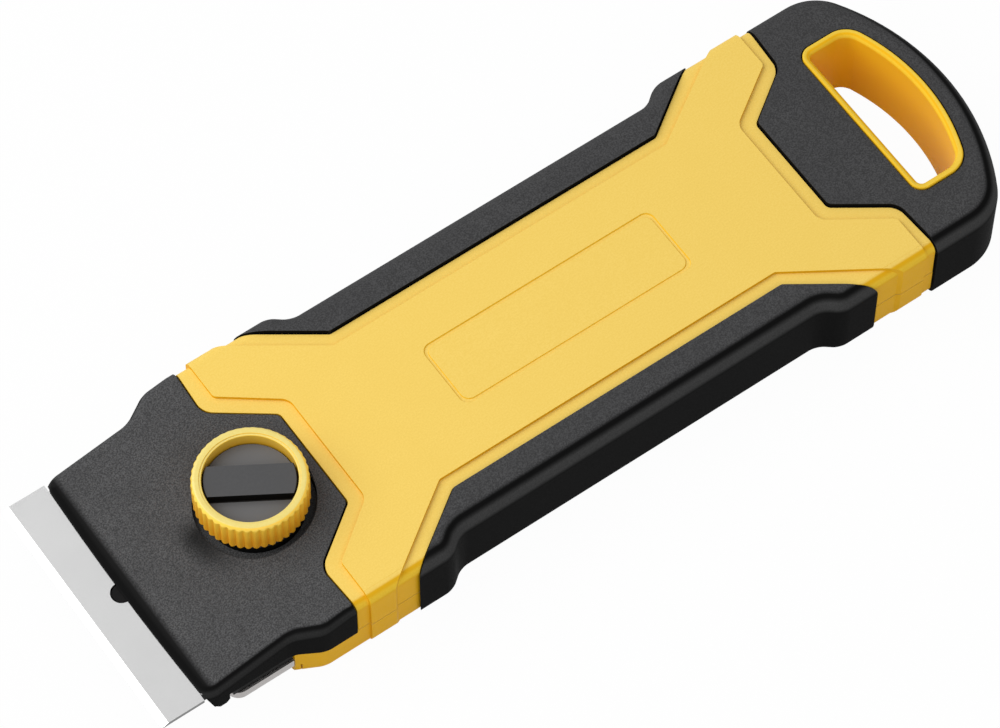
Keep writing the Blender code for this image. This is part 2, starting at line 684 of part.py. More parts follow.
def make_clamp_cover():
    cover = slab("clamp_cover", outline(cover_corners(0.0)), NUB_BOTTOM, COVER_TOP)
    slope_top = (x_at(COVER_SLOPE_END), 0.0, COVER_TOP)
    slice_off(cover, slope_top, (-COVER_SLOPE, 0.0, 1.0))
    round_edges(cover, on_cover_rim, COVER_EDGE_RADIUS)

    seat_drop = SEAT_FOOT_RADIUS - SEAT_RADIUS
    seat = rod(
        "seat",
        KNOB_X,
        0.0,
        SEAT_RADIUS,
        SEAT_HEIGHT - seat_drop * SEAT_FALL_SHARE,
        SEAT_HEIGHT,
        foot=SEAT_FOOT_RADIUS,
    )
    slice_off(seat, (KNOB_X, 0.0, SEAT_HEIGHT), (1.0, 0.0, 0.0))
    join(cover, seat)

    under = NUB_BOTTOM - OVERRUN
    side = COVER_HALF_WIDTH + OVERRUN
    clear_of_blade = x_at(BLADE_WIDE_DEPTH) + CLEARANCE
    nub_rear = clear_of_blade + NUB_LENGTH
    rear = x_at(NOSE_SEAM_MIDDLE) + OVERRUN
    wide = SHOULDER_HALF_WIDTH + OVERRUN
    clamp_space = slab("clamp_space", outline(cover_corners(SKIRT)), under, CLAMP_PLANE, CUTTERS)
    blade_way = block(
        "blade_way",
        (x_at(0.0), -side, under),
        (nub_rear, side, CLAMP_PLANE),
    )
    nub_top = (clear_of_blade, 0.0, CLAMP_PLANE)
    slice_off(blade_way, nub_top, (CLAMP_PLANE - NUB_BOTTOM, 0.0, NUB_RAKE))
    skirt_trim = block("skirt_trim", (nub_rear, -wide, under), (rear, wide, COVER_BOTTOM))
    mouth = block(
        "mouth",
        (x_at(0.0), -COVER_HALF_WIDTH + SKIRT, under),
        (nub_rear, COVER_HALF_WIDTH - SKIRT, CLAMP_PLANE),
    )
    roof = COVER_TOP - COVER_SLOPE * (COVER_SLOPE_END - COVER_HOLLOW_FRONT) - COVER_ROOF
    hollow_corners = both_sides(
        (
            (x_at(NOSE_SEAM_MIDDLE), NOSE_SEAM_MIDDLE_HALF_WIDTH, NOSE_SEAM_MIDDLE_RADIUS, 2 * SKIRT),
            (x_at(NOSE_SEAM_SIDE), NOSE_SEAM_KNEE_HALF_WIDTH, NOSE_SEAM_KNEE_RADIUS, 2 * SKIRT),
            (x_at(NOSE_SEAM_SIDE), COVER_HOLLOW_HALF_WIDTH, 0.0, 0.0),
            (x_at(COVER_HOLLOW_FRONT), COVER_HOLLOW_HALF_WIDTH, 0.0, 0.0),
        )
    )
    hollow = slab("cover_hollow", outline(hollow_corners), CLAMP_PLANE - OVERRUN, roof, CUTTERS)
    well_radius = SPRING_RADIUS + SPRING_WIRE / 2 + 2 * CLEARANCE
    well = rod("cover_well", KNOB_X, 0.0, well_radius, CLAMP_PLANE, ROOF_UNDERSIDE)
    bore = rod("cover_bore", KNOB_X, 0.0, SCREW_RADIUS + CLEARANCE, CLAMP_PLANE, KNOB_TOP)
    recess = rod("seat_recess", KNOB_X, 0.0, SEAT_RECESS_RADIUS, SEAT_HEIGHT, KNOB_TOP)
    cut(cover, clamp_space, blade_way, skirt_trim, mouth, hollow, well, bore, recess)
    return finish(cover, BLACK)


# Steel tray under the head
def tray_corners(inset):
    return both_sides(
        (
            (x_at(TANG_REAR), TANG_REAR_HALF_WIDTH, TRAY_FRONT_RADIUS, inset),
            (x_at(TANG_TAPER_START), TANG_HALF_WIDTH, TRAY_FRONT_RADIUS, inset),
            (x_at(BOTTOM_SHELL_FRONT) - CLEARANCE, TANG_HALF_WIDTH, 0.0, inset),
            (x_at(BOTTOM_SHELL_FRONT) - CLEARANCE, TRAY_HALF_WIDTH, 0.0, inset),
            (x_at(TRAY_FRONT), TRAY_HALF_WIDTH, TRAY_FRONT_RADIUS, inset),
        )
    )


def make_tray():
    tray = slab("steel_tray", outline(tray_corners(0.0)), TRAY_BOTTOM, TRAY_RIM_TOP)
    round_edges(tray, at_level(TRAY_BOTTOM), TRAY_BEND_RADIUS, 2)
    inner = slab(
        "tray_inner",
        outline(tray_corners(TRAY_THICKNESS)),
        TRAY_BOTTOM + TRAY_THICKNESS,
        TRAY_RIM_TOP + OVERRUN,
        CUTTERS,
    )
    low, high = TRAY_BOTTOM - OVERRUN, TRAY_RIM_TOP + OVERRUN
    tip_way = rod("tray_tip_way", KNOB_X, 0.0, SCREW_RADIUS + 2 * CLEARANCE, low, high)
    hole = SCREW_SHANK_RADIUS + CLEARANCE
    front = pair("tray_hole", FRONT_JAW_SCREW_STATION, FRONT_JAW_SCREW_HALF_SPREAD, hole, low, high)
    rear = pair("tray_hole", REAR_JAW_SCREW_STATION, REAR_JAW_SCREW_HALF_SPREAD, hole, low, high)
    cut(tray, inner, tip_way, *front, *rear)
    return finish(tray, PLATE_STEEL)


# Lower jaw
def make_lower_jaw():
    """The moulded block in the tray. It carries the blade, its peg, the nut and the spring."""
    grip_on_tray = TRAY_THICKNESS + CLEARANCE
    jaw_level = FLANGE_TOP - JAW_OVERLAP
    jaw = slab("lower_jaw", outline(tray_corners(grip_on_tray)), JAW_BOTTOM, FLANGE_TOP)
    rear_trim = block(
        "jaw_rear_trim",
        (x_at(JAW_REAR), -TRAY_HALF_WIDTH, JAW_BOTTOM - OVERRUN),
        (x_at(TANG_REAR) + OVERRUN, TRAY_HALF_WIDTH, FLANGE_TOP + OVERRUN),
    )
    flange_half = COVER_HALF_WIDTH - CLEARANCE
    flange = block(
        "jaw_flange",
        (x_at(TRAY_FRONT) + CLEARANCE, -flange_half, FLANGE_BOTTOM),
        (x_at(BOTTOM_SHELL_FRONT) - CLEARANCE, flange_half, FLANGE_TOP),
    )
    bed_half = COVER_HALF_WIDTH - SKIRT - CLEARANCE
    bed_corners = both_sides(
        (
            (x_at(JAW_BED_REAR), bed_half, 0.0, 0.0),
            (x_at(JAW_NOSE), bed_half, JAW_NOSE_THICKNESS, 0.0),
        )
    )
    bed = slab("jaw_bed", outline(bed_corners), FLANGE_BOTTOM, JAW_TOP, CUTTERS)
    nose_bottom = JAW_TOP - JAW_NOSE_THICKNESS
    run = TRAY_FRONT - JAW_NOSE
    slice_off(bed, (x_at(JAW_NOSE), 0.0, nose_bottom), (FLANGE_BOTTOM - nose_bottom, 0.0, -run))
    boss = rod("jaw_boss", KNOB_X, 0.0, JAW_BOSS_RADIUS, jaw_level, JAW_TOP)
    peg_x = x_at(BLADE_HOLE_STATION)
    peg_radius = BLADE_HOLE_RADIUS - CLEARANCE
    peg = rod("jaw_peg", peg_x, 0.0, peg_radius, jaw_level, BLADE_TOP - PEG_STEP)
    join(jaw, flange, bed, boss, peg)

    nut_pocket = hexagon(
        "nut_pocket",
        KNOB_X,
        NUT_ACROSS_FLATS + 2 * CLEARANCE,
        JAW_BOTTOM - OVERRUN,
        NUT_TOP + CLEARANCE,
    )
    well_radius = SPRING_RADIUS + SPRING_WIRE / 2 + 2 * CLEARANCE
    well = rod("jaw_well", KNOB_X, 0.0, well_radius, JAW_TOP - SPRING_WELL_DEPTH, JAW_TOP + OVERRUN)
    bore = rod("jaw_bore", KNOB_X, 0.0, SCREW_RADIUS + CLEARANCE, JAW_BOTTOM, JAW_TOP)
    hole = SCREW_SHANK_RADIUS + CLEARANCE
    front = pair(
        "jaw_hole",
        FRONT_JAW_SCREW_STATION,
        FRONT_JAW_SCREW_HALF_SPREAD,
        hole,
        JAW_BOTTOM - OVERRUN,
        FRONT_JAW_SCREW_TIP + CLEARANCE,
    )
    rear = pair(
        "jaw_hole",
        REAR_JAW_SCREW_STATION,
        REAR_JAW_SCREW_HALF_SPREAD,
        hole,
        JAW_BOTTOM - OVERRUN,
        JAW_TOP + OVERRUN,
    )
    cut(jaw, rear_trim, nut_pocket, well, bore, *front, *rear)
    return finish(jaw, BLACK)


# Yellow shells
def grip_seam_station(half_width, outer, waist):
    """Where the slanting seam from a grip's outer end to its waist reaches a half width."""
    share = (SHOULDER_HALF_WIDTH - half_width) / (SHOULDER_HALF_WIDTH - GRIP_SEAM_HALF_WIDTH)
    return outer + (waist - outer) * share


def shell_corners(front):
    """The plan that both yellow shells share behind their own front corners."""
    grip_front = grip_seam_station(BODY_HALF_WIDTH, GRIP_FRONT, GRIP_WAIST_FRONT)
    grip_rear = grip_seam_station(BODY_HALF_WIDTH, GRIP_REAR, GRIP_WAIST_REAR)
    rear = (
        (x_at(TAIL_SEAM_MIDDLE), TAIL_SEAM_MIDDLE_HALF_WIDTH, TAIL_SEAM_MIDDLE_RADIUS, SEAM),
        (x_at(TAIL_SEAM_SIDE), TAIL_SEAM_KNEE_HALF_WIDTH, TAIL_SEAM_KNEE_RADIUS, SEAM),
        (x_at(TAIL_SEAM_SIDE), BODY_HALF_WIDTH, 0.0, 0.0),
        (x_at(grip_rear), BODY_HALF_WIDTH, 0.0, SEAM),
        (x_at(GRIP_WAIST_REAR), GRIP_SEAM_HALF_WIDTH, GRIP_SEAM_RADIUS, SEAM),
        (x_at(GRIP_WAIST_FRONT), GRIP_SEAM_HALF_WIDTH, GRIP_SEAM_RADIUS, SEAM),
        (x_at(grip_front), BODY_HALF_WIDTH, 0.0, 0.0),
    )
    return both_sides(rear + front)


def panel_corners():
    edge = BODY_HALF_WIDTH + BAND_STEP
    return both_sides(
        (
            (x_at(PANEL_TAIL), PANEL_TAIL_HALF_WIDTH, PANEL_CORNER_RADIUS, 0.0),
            (x_at(PANEL_REAR), PANEL_REAR_KNEE_HALF_WIDTH, PANEL_KNEE_RADIUS, 0.0),
            (x_at(PANEL_REAR), edge, 0.0, 0.0),
            (x_at(PANEL_REAR - PANEL_BAND), edge, 0.0, 0.0),
            (x_at(PANEL_WAIST_REAR), PANEL_WAIST_HALF_WIDTH, PANEL_KNEE_RADIUS, 0.0),
            (x_at(PANEL_WAIST_FRONT), PANEL_WAIST_HALF_WIDTH, PANEL_KNEE_RADIUS, 0.0),
            (x_at(PANEL_FRONT + PANEL_BAND), edge, 0.0, 0.0),
            (x_at(PANEL_FRONT), edge, 0.0, 0.0),
            (x_at(PANEL_FRONT), PANEL_FRONT_KNEE_HALF_WIDTH, PANEL_KNEE_RADIUS, 0.0),
            (x_at(PANEL_NOSE), PANEL_NOSE_HALF_WIDTH, PANEL_CORNER_RADIUS, 0.0),
        )
    )


def outer_sides(level):
    """Chooses the level edges that run along the outside of the body."""
    same_level = at_level(level)

    def chosen(middle, edge):
        first, second = (vert.co for vert in edge.verts)
        runs_along = abs(first.y - second.y) < SAME_PLACE
        outside = abs(middle.y) > BODY_HALF_WIDTH - CLEARANCE
        return same_level(middle, edge) and runs_along and outside

    return chosen


def under_shoulder(middle, edge):
    """Chooses the lower shell's level edges that run in from the shoulder to its front."""
    first, second = (vert.co for vert in edge.verts)
    slants = abs(first.x - second.x) > abs(first.y - second.y)
    ahead = middle.x < x_at(SHOULDER_END) + SHOULDER_RADIUS
    outside = abs(middle.y) > COVER_HALF_WIDTH - CLEARANCE
    return at_level(0.0)(middle, edge) and slants and ahead and outside


def along_lower_side(middle, edge):
    return outer_sides(0.0)(middle, edge) or under_shoulder(middle, edge)


def core_outline(inset=0.0):
    """The flange that both shells reach out under the grips."""
    return outline(
        both_sides(
            (
                (x_at(GRIP_REAR - CORE_END_INSET), CORE_ROOT_HALF_WIDTH, 0.0, inset),
                (x_at(GRIP_WAIST_REAR + CORE_END_INSET), CORE_HALF_WIDTH, 0.0, inset),
                (x_at(GRIP_WAIST_FRONT - CORE_END_INSET), CORE_HALF_WIDTH, 0.0, inset),
                (x_at(GRIP_FRONT + CORE_END_INSET), CORE_ROOT_HALF_WIDTH, 0.0, inset),
            )
        )
    )


def hollow_outline():
    half = GRIP_SEAM_HALF_WIDTH - SHELL_WALL
    return outline(
        both_sides(
            (
                (x_at(SHELL_HOLLOW_REAR), half, PANEL_CORNER_RADIUS, 0.0),
                (x_at(SHELL_HOLLOW_FRONT), half, PANEL_CORNER_RADIUS, 0.0),
            )
        )
    )


def tongue(name, bottom, top):
    """The tongue that a shell puts into the tail."""
    return block(
        name,
        (x_at(TAIL_SEAM_MIDDLE) - OVERRUN, -TONGUE_HALF_WIDTH, bottom),
        (x_at(TONGUE_REAR), TONGUE_HALF_WIDTH, top),
    )


def shell_bosses(name, bottom, top):
    radius = SCREW_SHANK_RADIUS + CLEARANCE + BOSS_WALL
    bosses = []
    for station in SHELL_SCREW_STATIONS:
        bosses += pair(name, station, SHELL_SCREW_HALF_SPREAD, radius, bottom, top)
    return bosses


def shell_screw_cutters():
    cutters = screw_cutters(TAIL_SCREW_STATION, TAIL_SCREW_HALF_SPREAD, TAIL_SCREW_TIP)
    for station in SHELL_SCREW_STATIONS:
        cutters += screw_cutters(station, SHELL_SCREW_HALF_SPREAD, SHELL_SCREW_TIP)
    return cutters


def make_top_shell():
    front = (
        (x_at(NOSE_SEAM_SIDE), BODY_HALF_WIDTH, 0.0, SEAM),
        (x_at(NOSE_SEAM_SIDE), NOSE_SEAM_KNEE_HALF_WIDTH, NOSE_SEAM_KNEE_RADIUS, SEAM),
        (x_at(NOSE_SEAM_MIDDLE), NOSE_SEAM_MIDDLE_HALF_WIDTH, NOSE_SEAM_MIDDLE_RADIUS, SEAM),
    )
    bottom = SPLIT_HEIGHT + SEAM
    shell = slab("top_shell", outline(shell_corners(front)), bottom, CHANNEL_TOP)
    round_edges(shell, outer_sides(CHANNEL_TOP), SHELL_EDGE_RADIUS)
    panel = slab("panel", outline(panel_corners()), bottom, BODY_HEIGHT, CUTTERS)
    round_edges(panel, outer_sides(BODY_HEIGHT), SHELL_EDGE_RADIUS)
    round_edges(panel, at_level(BODY_HEIGHT), PANEL_SOFT_EDGE, 1)
    core = slab("top_core", core_outline(), bottom, CORE_TOP, CUTTERS)
    join(shell, panel, core, tongue("top_tongue", bottom, TONGUE_TOP))

    ceiling = BODY_HEIGHT - SHELL_WALL
    hollow = slab("top_hollow", hollow_outline(), bottom - OVERRUN, ceiling, CUTTERS)
    cut(shell, hollow)
    join(shell, *shell_bosses("top_boss", bottom, ceiling + SHELL_WALL / 2))
    label_corners = both_sides(
        (
            (x_at(LABEL_REAR), LABEL_HALF_WIDTH, LABEL_RADIUS, 0.0),
            (x_at(LABEL_FRONT), LABEL_HALF_WIDTH, LABEL_RADIUS, 0.0),
        )
    )
    label = slab(
        "label_recess",
        outline(label_corners),
        BODY_HEIGHT - LABEL_DEPTH,
        BODY_HEIGHT + OVERRUN,
        CUTTERS,
    )
    cut(shell, label, *shell_screw_cutters())
    return finish(shell, YELLOW)


def make_bottom_shell():
    front = (
        (x_at(SHOULDER_END), BODY_HALF_WIDTH, SHOULDER_RADIUS, 0.0),
        (x_at(BOTTOM_SHELL_FRONT), COVER_HALF_WIDTH, 0.0, 0.0),
    )
    top = SPLIT_HEIGHT - SEAM
    shell = slab("bottom_shell", outline(shell_corners(front)), 0.0, top)
    round_edges(shell, along_lower_side, SHELL_EDGE_RADIUS)
    bands = slab("bands", outline(panel_corners()), BAND_STEP, top, CUTTERS)
    round_edges(bands, outer_sides(BAND_STEP), SHELL_EDGE_RADIUS)
    core = slab("bottom_core", core_outline(), CORE_BOTTOM, top, CUTTERS)
    join(shell, bands, core, tongue("bottom_tongue", TONGUE_BOTTOM, top))

    hollow = slab("bottom_hollow", hollow_outline(), SHELL_FLOOR, top + OVERRUN, CUTTERS)
    pocket = slab(
        "tray_pocket",
        outline(tray_corners(-CLEARANCE)),
        TRAY_POCKET_FLOOR,
        top + OVERRUN,
        CUTTERS,
    )
    tip = rod(
        "tip_recess",
        KNOB_X,
        0.0,
        SCREW_RADIUS + 2 * CLEARANCE,
        SCREW_TIP - 2 * CLEARANCE,
        top,
    )
    cut(shell, hollow, pocket, tip)
    join(shell, *shell_bosses("bottom_boss", SHELL_FLOOR / 2, top))
    rear_jaw = screw_cutters(REAR_JAW_SCREW_STATION, REAR_JAW_SCREW_HALF_SPREAD, JAW_TOP)
    cut(shell, *shell_screw_cutters(), *rear_jaw)
    return finish(shell, YELLOW)


# Grips
def grip_corners(side):
    """One grip's plan, on the +Y side, or mirrored to the other."""
    edge = GRIP_SHOULDER_HALF_WIDTH
    front_blend = GRIP_FRONT + GRIP_SHOULDER_LENGTH
    rear_blend = GRIP_REAR - GRIP_REAR_SHOULDER_LENGTH
    grip_front = grip_seam_station(edge, GRIP_FRONT, GRIP_WAIST_FRONT)
    grip_rear = grip_seam_station(edge, GRIP_REAR, GRIP_WAIST_REAR)
    corners = [
        (x_at(grip_front), edge, 0.0, SEAM),
        (x_at(GRIP_WAIST_FRONT), GRIP_SEAM_HALF_WIDTH, GRIP_SEAM_RADIUS, SEAM),
        (x_at(GRIP_WAIST_REAR), GRIP_SEAM_HALF_WIDTH, GRIP_SEAM_RADIUS, SEAM),
        (x_at(grip_rear), edge, 0.0, 0.0),
        (x_at(rear_blend), edge, GRIP_BLEND_RADIUS, 0.0),
        (x_at(rear_blend - GRIP_BLEND_LENGTH), GRIP_HOLLOW_HALF_WIDTH, GRIP_BLEND_RADIUS, 0.0),
        (x_at(front_blend + GRIP_BLEND_LENGTH), GRIP_HOLLOW_HALF_WIDTH, GRIP_BLEND_RADIUS, 0.0),
        (x_at(front_blend), edge, GRIP_BLEND_RADIUS, 0.0),
    ]
    if side > 0:
        return corners
    mirrored = []
    for index in range(len(corners) - 1, -1, -1):
        x, y, radius, _ = corners[index]
        mirrored.append((x, -y, radius, corners[index - 1][3]))
    return mirrored


def on_grip_outside(level):
    """The level edges of a grip's outer wall."""
    same_level = at_level(level)

    def chosen(middle, edge):
        outside = abs(middle.y) > GRIP_HOLLOW_HALF_WIDTH - CLEARANCE
        return same_level(middle, edge) and outside and not follows_seam(edge)

    return chosen


def follows_seam(edge):
    """Whether a grip's edge lies on one of its two slanting seams."""
    along = edge.verts[0].co - edge.verts[1].co
    slant = (SHOULDER_HALF_WIDTH - GRIP_SEAM_HALF_WIDTH) / (GRIP_WAIST_FRONT - GRIP_FRONT)
    return along.length > GRIP_BLEND_LENGTH and abs(along.y) > abs(along.x) * slant / 2


def make_grip(name, side):
    grip = slab(name, outline(grip_corners(side)), 0.0, GRIP_TOP)
    round_edges(grip, on_grip_outside(GRIP_TOP), GRIP_EDGE_RADIUS)
    round_edges(grip, on_grip_outside(0.0), SHELL_EDGE_RADIUS)
    pocket = slab(
        name + "_pocket",
        core_outline(-CLEARANCE),
        CORE_BOTTOM - CLEARANCE,
        CORE_TOP + CLEARANCE,
        CUTTERS,
    )
    cut(grip, pocket)
    return finish(grip, SOFT_BLACK)


# Tail with its lined hanging hole
def rear_curve(end, half_width, end_radius, corner_radius):
    """The rounded rear end, from the -Y side to the +Y side: a broad arc between two corners."""
    middle = end - end_radius
    offset = half_width - corner_radius
    corner = middle + math.sqrt((end_radius - corner_radius) ** 2 - offset**2)
    turn = math.atan2(offset, corner - middle)
    arcs = (
        (corner, -offset, corner_radius, -math.pi / 2, -turn),
        (middle, 0.0, end_radius, -turn, turn),
        (corner, offset, corner_radius, turn, math.pi / 2),
    )
    points = []
    for x, y, radius, first, last in arcs:
        steps = max(3, math.ceil((last - first) / (ARC_STEP / 2)))
        start = 0 if not points else 1
        for step in range(start, steps + 1):
            angle = first + (last - first) * step / steps
            points.append(Vector((x + radius * math.cos(angle), y + radius * math.sin(angle))))
    return points


def tail_outline():
    half = (
        (x_at(OVERALL_LENGTH), SHOULDER_HALF_WIDTH, 0.0, 0.0),
        (x_at(TAIL_SEAM_SIDE), SHOULDER_HALF_WIDTH, 0.0, SEAM),
        (x_at(TAIL_SEAM_SIDE), TAIL_SEAM_KNEE_HALF_WIDTH, TAIL_SEAM_KNEE_RADIUS, SEAM),
        (x_at(TAIL_SEAM_MIDDLE), TAIL_SEAM_MIDDLE_HALF_WIDTH, TAIL_SEAM_MIDDLE_RADIUS, SEAM),
    )
    front = outline(both_sides(half))[1:-1]
    end = rear_curve(
        x_at(OVERALL_LENGTH), SHOULDER_HALF_WIDTH, TAIL_END_RADIUS, TAIL_CORNER_RADIUS
    )
    return front + end


def liner_outline(inset):
    """The D of the hanging hole, drawn in by the inset."""
    half_width = LINER_HALF_WIDTH - inset
    half = (
        (x_at(LINER_REAR), LINER_HALF_WIDTH, 0.0, inset),
        (x_at(LINER_FRONT), LINER_HALF_WIDTH, LINER_FRONT_RADIUS - inset, inset),
    )
    front = outline(both_sides(half))[1:-1]
    broad = TAIL_END_RADIUS - (OVERALL_LENGTH - LINER_REAR) - inset
    end = rear_curve(x_at(LINER_REAR) - inset, half_width, broad, LINER_CORNER_RADIUS - inset)
    return front + end


def make_tail():
    tail = slab("tail_cap", tail_outline(), 0.0, GRIP_TOP)
    front = x_at(TAIL_SEAM_SIDE) + 2 * SEAM

    def on_rim(level):
        same_level = at_level(level)
        return lambda middle, edge: same_level(middle, edge) and middle.x > front

    round_edges(tail, on_rim(GRIP_TOP), TAIL_EDGE_RADIUS)
    round_edges(tail, on_rim(0.0), TAIL_EDGE_RADIUS)
    low, high = -OVERRUN, GRIP_TOP + OVERRUN
    hole = slab("tail_hole", liner_outline(-CLEARANCE), low, high, CUTTERS)
    step = slab(
        "tail_step",
        liner_outline(-LINER_SHOULDER - CLEARANCE),
        low,
        LINER_SHOULDER_HEIGHT + CLEARANCE,
        CUTTERS,
    )
    slot = block(
        "tongue_slot",
        (x_at(TAIL_SEAM_MIDDLE) - OVERRUN, -TONGUE_HALF_WIDTH - CLEARANCE, TONGUE_BOTTOM - CLEARANCE),
        (x_at(TONGUE_REAR) + CLEARANCE, TONGUE_HALF_WIDTH + CLEARANCE, TONGUE_TOP + CLEARANCE),
    )
    screws = screw_cutters(TAIL_SCREW_STATION, TAIL_SCREW_HALF_SPREAD, TONGUE_BOTTOM)
    cut(tail, hole, step, slot, *screws)
    return finish(tail, BLACK)


def make_hole_liner():
    top = GRIP_TOP + LINER_PROUD
    liner = slab("hole_liner", liner_outline(0.0), 0.0, top)
    round_edges(liner, at_level(top), LINER_LIP_RADIUS, 2)
    shoulder = slab(
        "liner_shoulder",
        liner_outline(-LINER_SHOULDER),
        0.0,
        LINER_SHOULDER_HEIGHT,
        CUTTERS,
    )
    opening = slab(
        "liner_opening", liner_outline(LINER_WALL), -OVERRUN, top + OVERRUN, CUTTERS
    )
    join(liner, shoulder)
    cut(liner, opening)
    return finish(liner, YELLOW)


# Knob, turned about the clamp screw's axis
def make_knob_ring():
    inner = KNOB_RADIUS - KNOB_WALL
    ledge = inner - KNOB_LEDGE
    lip = KNOB_LIP
    profile = (
        (inner, KNOB_TOP - lip * LIP_INNER_SHARE),
        (inner + lip * LIP_INNER_SHARE, KNOB_TOP),
        (KNOB_RADIUS - lip * LIP_OUTER_SHARE, KNOB_TOP),
        (KNOB_RADIUS - lip * LIP_SHOULDER_SHARE, KNOB_TOP - lip * LIP_INNER_SHARE),
        (KNOB_RADIUS, KNOB_TOP - lip),
        (KNOB_RADIUS, KNOB_BOTTOM),
        (ledge, KNOB_BOTTOM),
        (ledge, KNOB_BOTTOM + KNOB_LEDGE_HEIGHT),
        (inner, KNOB_BOTTOM + KNOB_LEDGE_HEIGHT),
    )
    ring = turned("knob_ring", profile, KNOB_FLUTES * FLUTE_STEPS, KNOB_X)
    bake(ring)

    def flute(bm):
        spacing = math.tau / KNOB_FLUTES
        for vert in bm.verts:
            radius = math.hypot(vert.co.x, vert.co.y)
            share = (math.atan2(vert.co.y, vert.co.x) / spacing) % 1.0
            in_groove = min(share, 1.0 - share) < 1 / (2 * FLUTE_STEPS)
            if radius > KNOB_RADIUS - KNOB_FLUTE_DEPTH / 2 and in_groove:
                vert.co.xy *= (radius - KNOB_FLUTE_DEPTH) / radius

    with_bmesh(ring, flute)
    return finish(ring, YELLOW, 50.0)


def d_pocket(side, radius, half_bar, bottom, top):
    """The D between the finger bar and the rim of the knob's insert."""
    reach = math.acos(half_bar / radius)
    points = []
    for step in range(POCKET_STEPS + 1):
        angle = -reach + 2 * reach * step / POCKET_STEPS
        points.append((KNOB_X + side * radius * math.cos(angle), side * radius * math.sin(angle)))
    return slab("insert_pocket", points, bottom, top, CUTTERS)


def make_knob_insert():
    inner = KNOB_RADIUS - KNOB_WALL
    body = inner - CLEARANCE
    spigot = inner - KNOB_LEDGE - CLEARANCE
    top = KNOB_TOP - INSERT_DROP
    shoulder = KNOB_BOTTOM + KNOB_LEDGE_HEIGHT + CLEARANCE
    profile = (
        (0.0, top),
        (body, top),
        (body, shoulder),
        (spigot, shoulder),
        (spigot, HEAD_BOTTOM),
        (0.0, HEAD_BOTTOM),
    )
    insert = turned("knob_insert", profile, 2 * ROUND_STEPS, KNOB_X)
    rim = body - INSERT_RIM
    floor = top - INSERT_POCKET_DEPTH
    half_bar = INSERT_BAR_WIDTH / 2
    pockets = [d_pocket(side, rim, half_bar, floor, top + OVERRUN) for side in (1, -1)]
    socket = hexagon(
        "head_socket",
        KNOB_X,
        SCREW_HEAD_ACROSS_FLATS + 2 * CLEARANCE,
        HEAD_BOTTOM - OVERRUN,
        HEAD_BOTTOM + SCREW_HEAD_HEIGHT + CLEARANCE,
    )
    cut(insert, *pockets, socket)
    return finish(insert, BLACK)


def make_clamp_screw():
    """A hexagon head with a turned shank, grooved for the clip and pointed at its tip."""
    groove_top = ROOF_UNDERSIDE
    groove_bottom = groove_top - CLIP_THICKNESS - 2 * CLEARANCE
    groove = SCREW_RADIUS - CLIP_GROOVE_DEPTH
    profile = (
        (0.0, HEAD_BOTTOM + SCREW_HEAD_HEIGHT / 2),
        (SCREW_RADIUS, HEAD_BOTTOM + SCREW_HEAD_HEIGHT / 2),
        (SCREW_RADIUS, groove_top),
        (groove, groove_top),
        (groove, groove_bottom),
        (SCREW_RADIUS, groove_bottom),
        (SCREW_RADIUS, SCREW_TIP + SCREW_TIP_CHAMFER),
        (SCREW_RADIUS - SCREW_TIP_CHAMFER, SCREW_TIP),
        (0.0, SCREW_TIP),
    )
    screw = turned("clamp_screw", profile, SMALL_STEPS, KNOB_X)
    head = hexagon(
        "clamp_screw_head",
        KNOB_X,
        SCREW_HEAD_ACROSS_FLATS,
        HEAD_BOTTOM,
        HEAD_BOTTOM + SCREW_HEAD_HEIGHT,
    )
    join(screw, head)
    return finish(screw, FASTENER_STEEL)


def ring_profile(inner, outer, bottom, top):
    return ((inner, top), (outer, top), (outer, bottom), (inner, bottom))


def make_knob_washer():
    bottom = SEAT_HEIGHT + CLEARANCE
    profile = ring_profile(
        SCREW_RADIUS + CLEARANCE, WASHER_RADIUS, bottom, bottom + WASHER_THICKNESS
    )
    return finish(turned("knob_washer", profile, ROUND_STEPS, KNOB_X), FASTENER_STEEL)


def make_retaining_clip():
    top = ROOF_UNDERSIDE - CLEARANCE
    bore = SCREW_RADIUS - CLIP_GROOVE_DEPTH + CLEARANCE
    profile = ring_profile(bore, CLIP_RADIUS, top - CLIP_THICKNESS, top)
    clip = turned("retaining_clip", profile, ROUND_STEPS, KNOB_X)
    slot = block(
        "clip_slot",
        (KNOB_X, -CLIP_SLOT / 2, top - CLIP_THICKNESS - OVERRUN),
        (KNOB_X + CLIP_RADIUS + OVERRUN, CLIP_SLOT / 2, top + OVERRUN),
    )
    cut(clip, slot)
    return finish(clip, FASTENER_STEEL)


def make_clamp_nut():
    nut = hexagon("clamp_nut", KNOB_X, NUT_ACROSS_FLATS, JAW_BOTTOM, NUT_TOP, PARTS)
    cut(nut, rod("nut_bore", KNOB_X, 0.0, SCREW_RADIUS + CLEARANCE, 0.0, JAW_TOP, SMALL_STEPS))
    return finish(nut, FASTENER_STEEL)


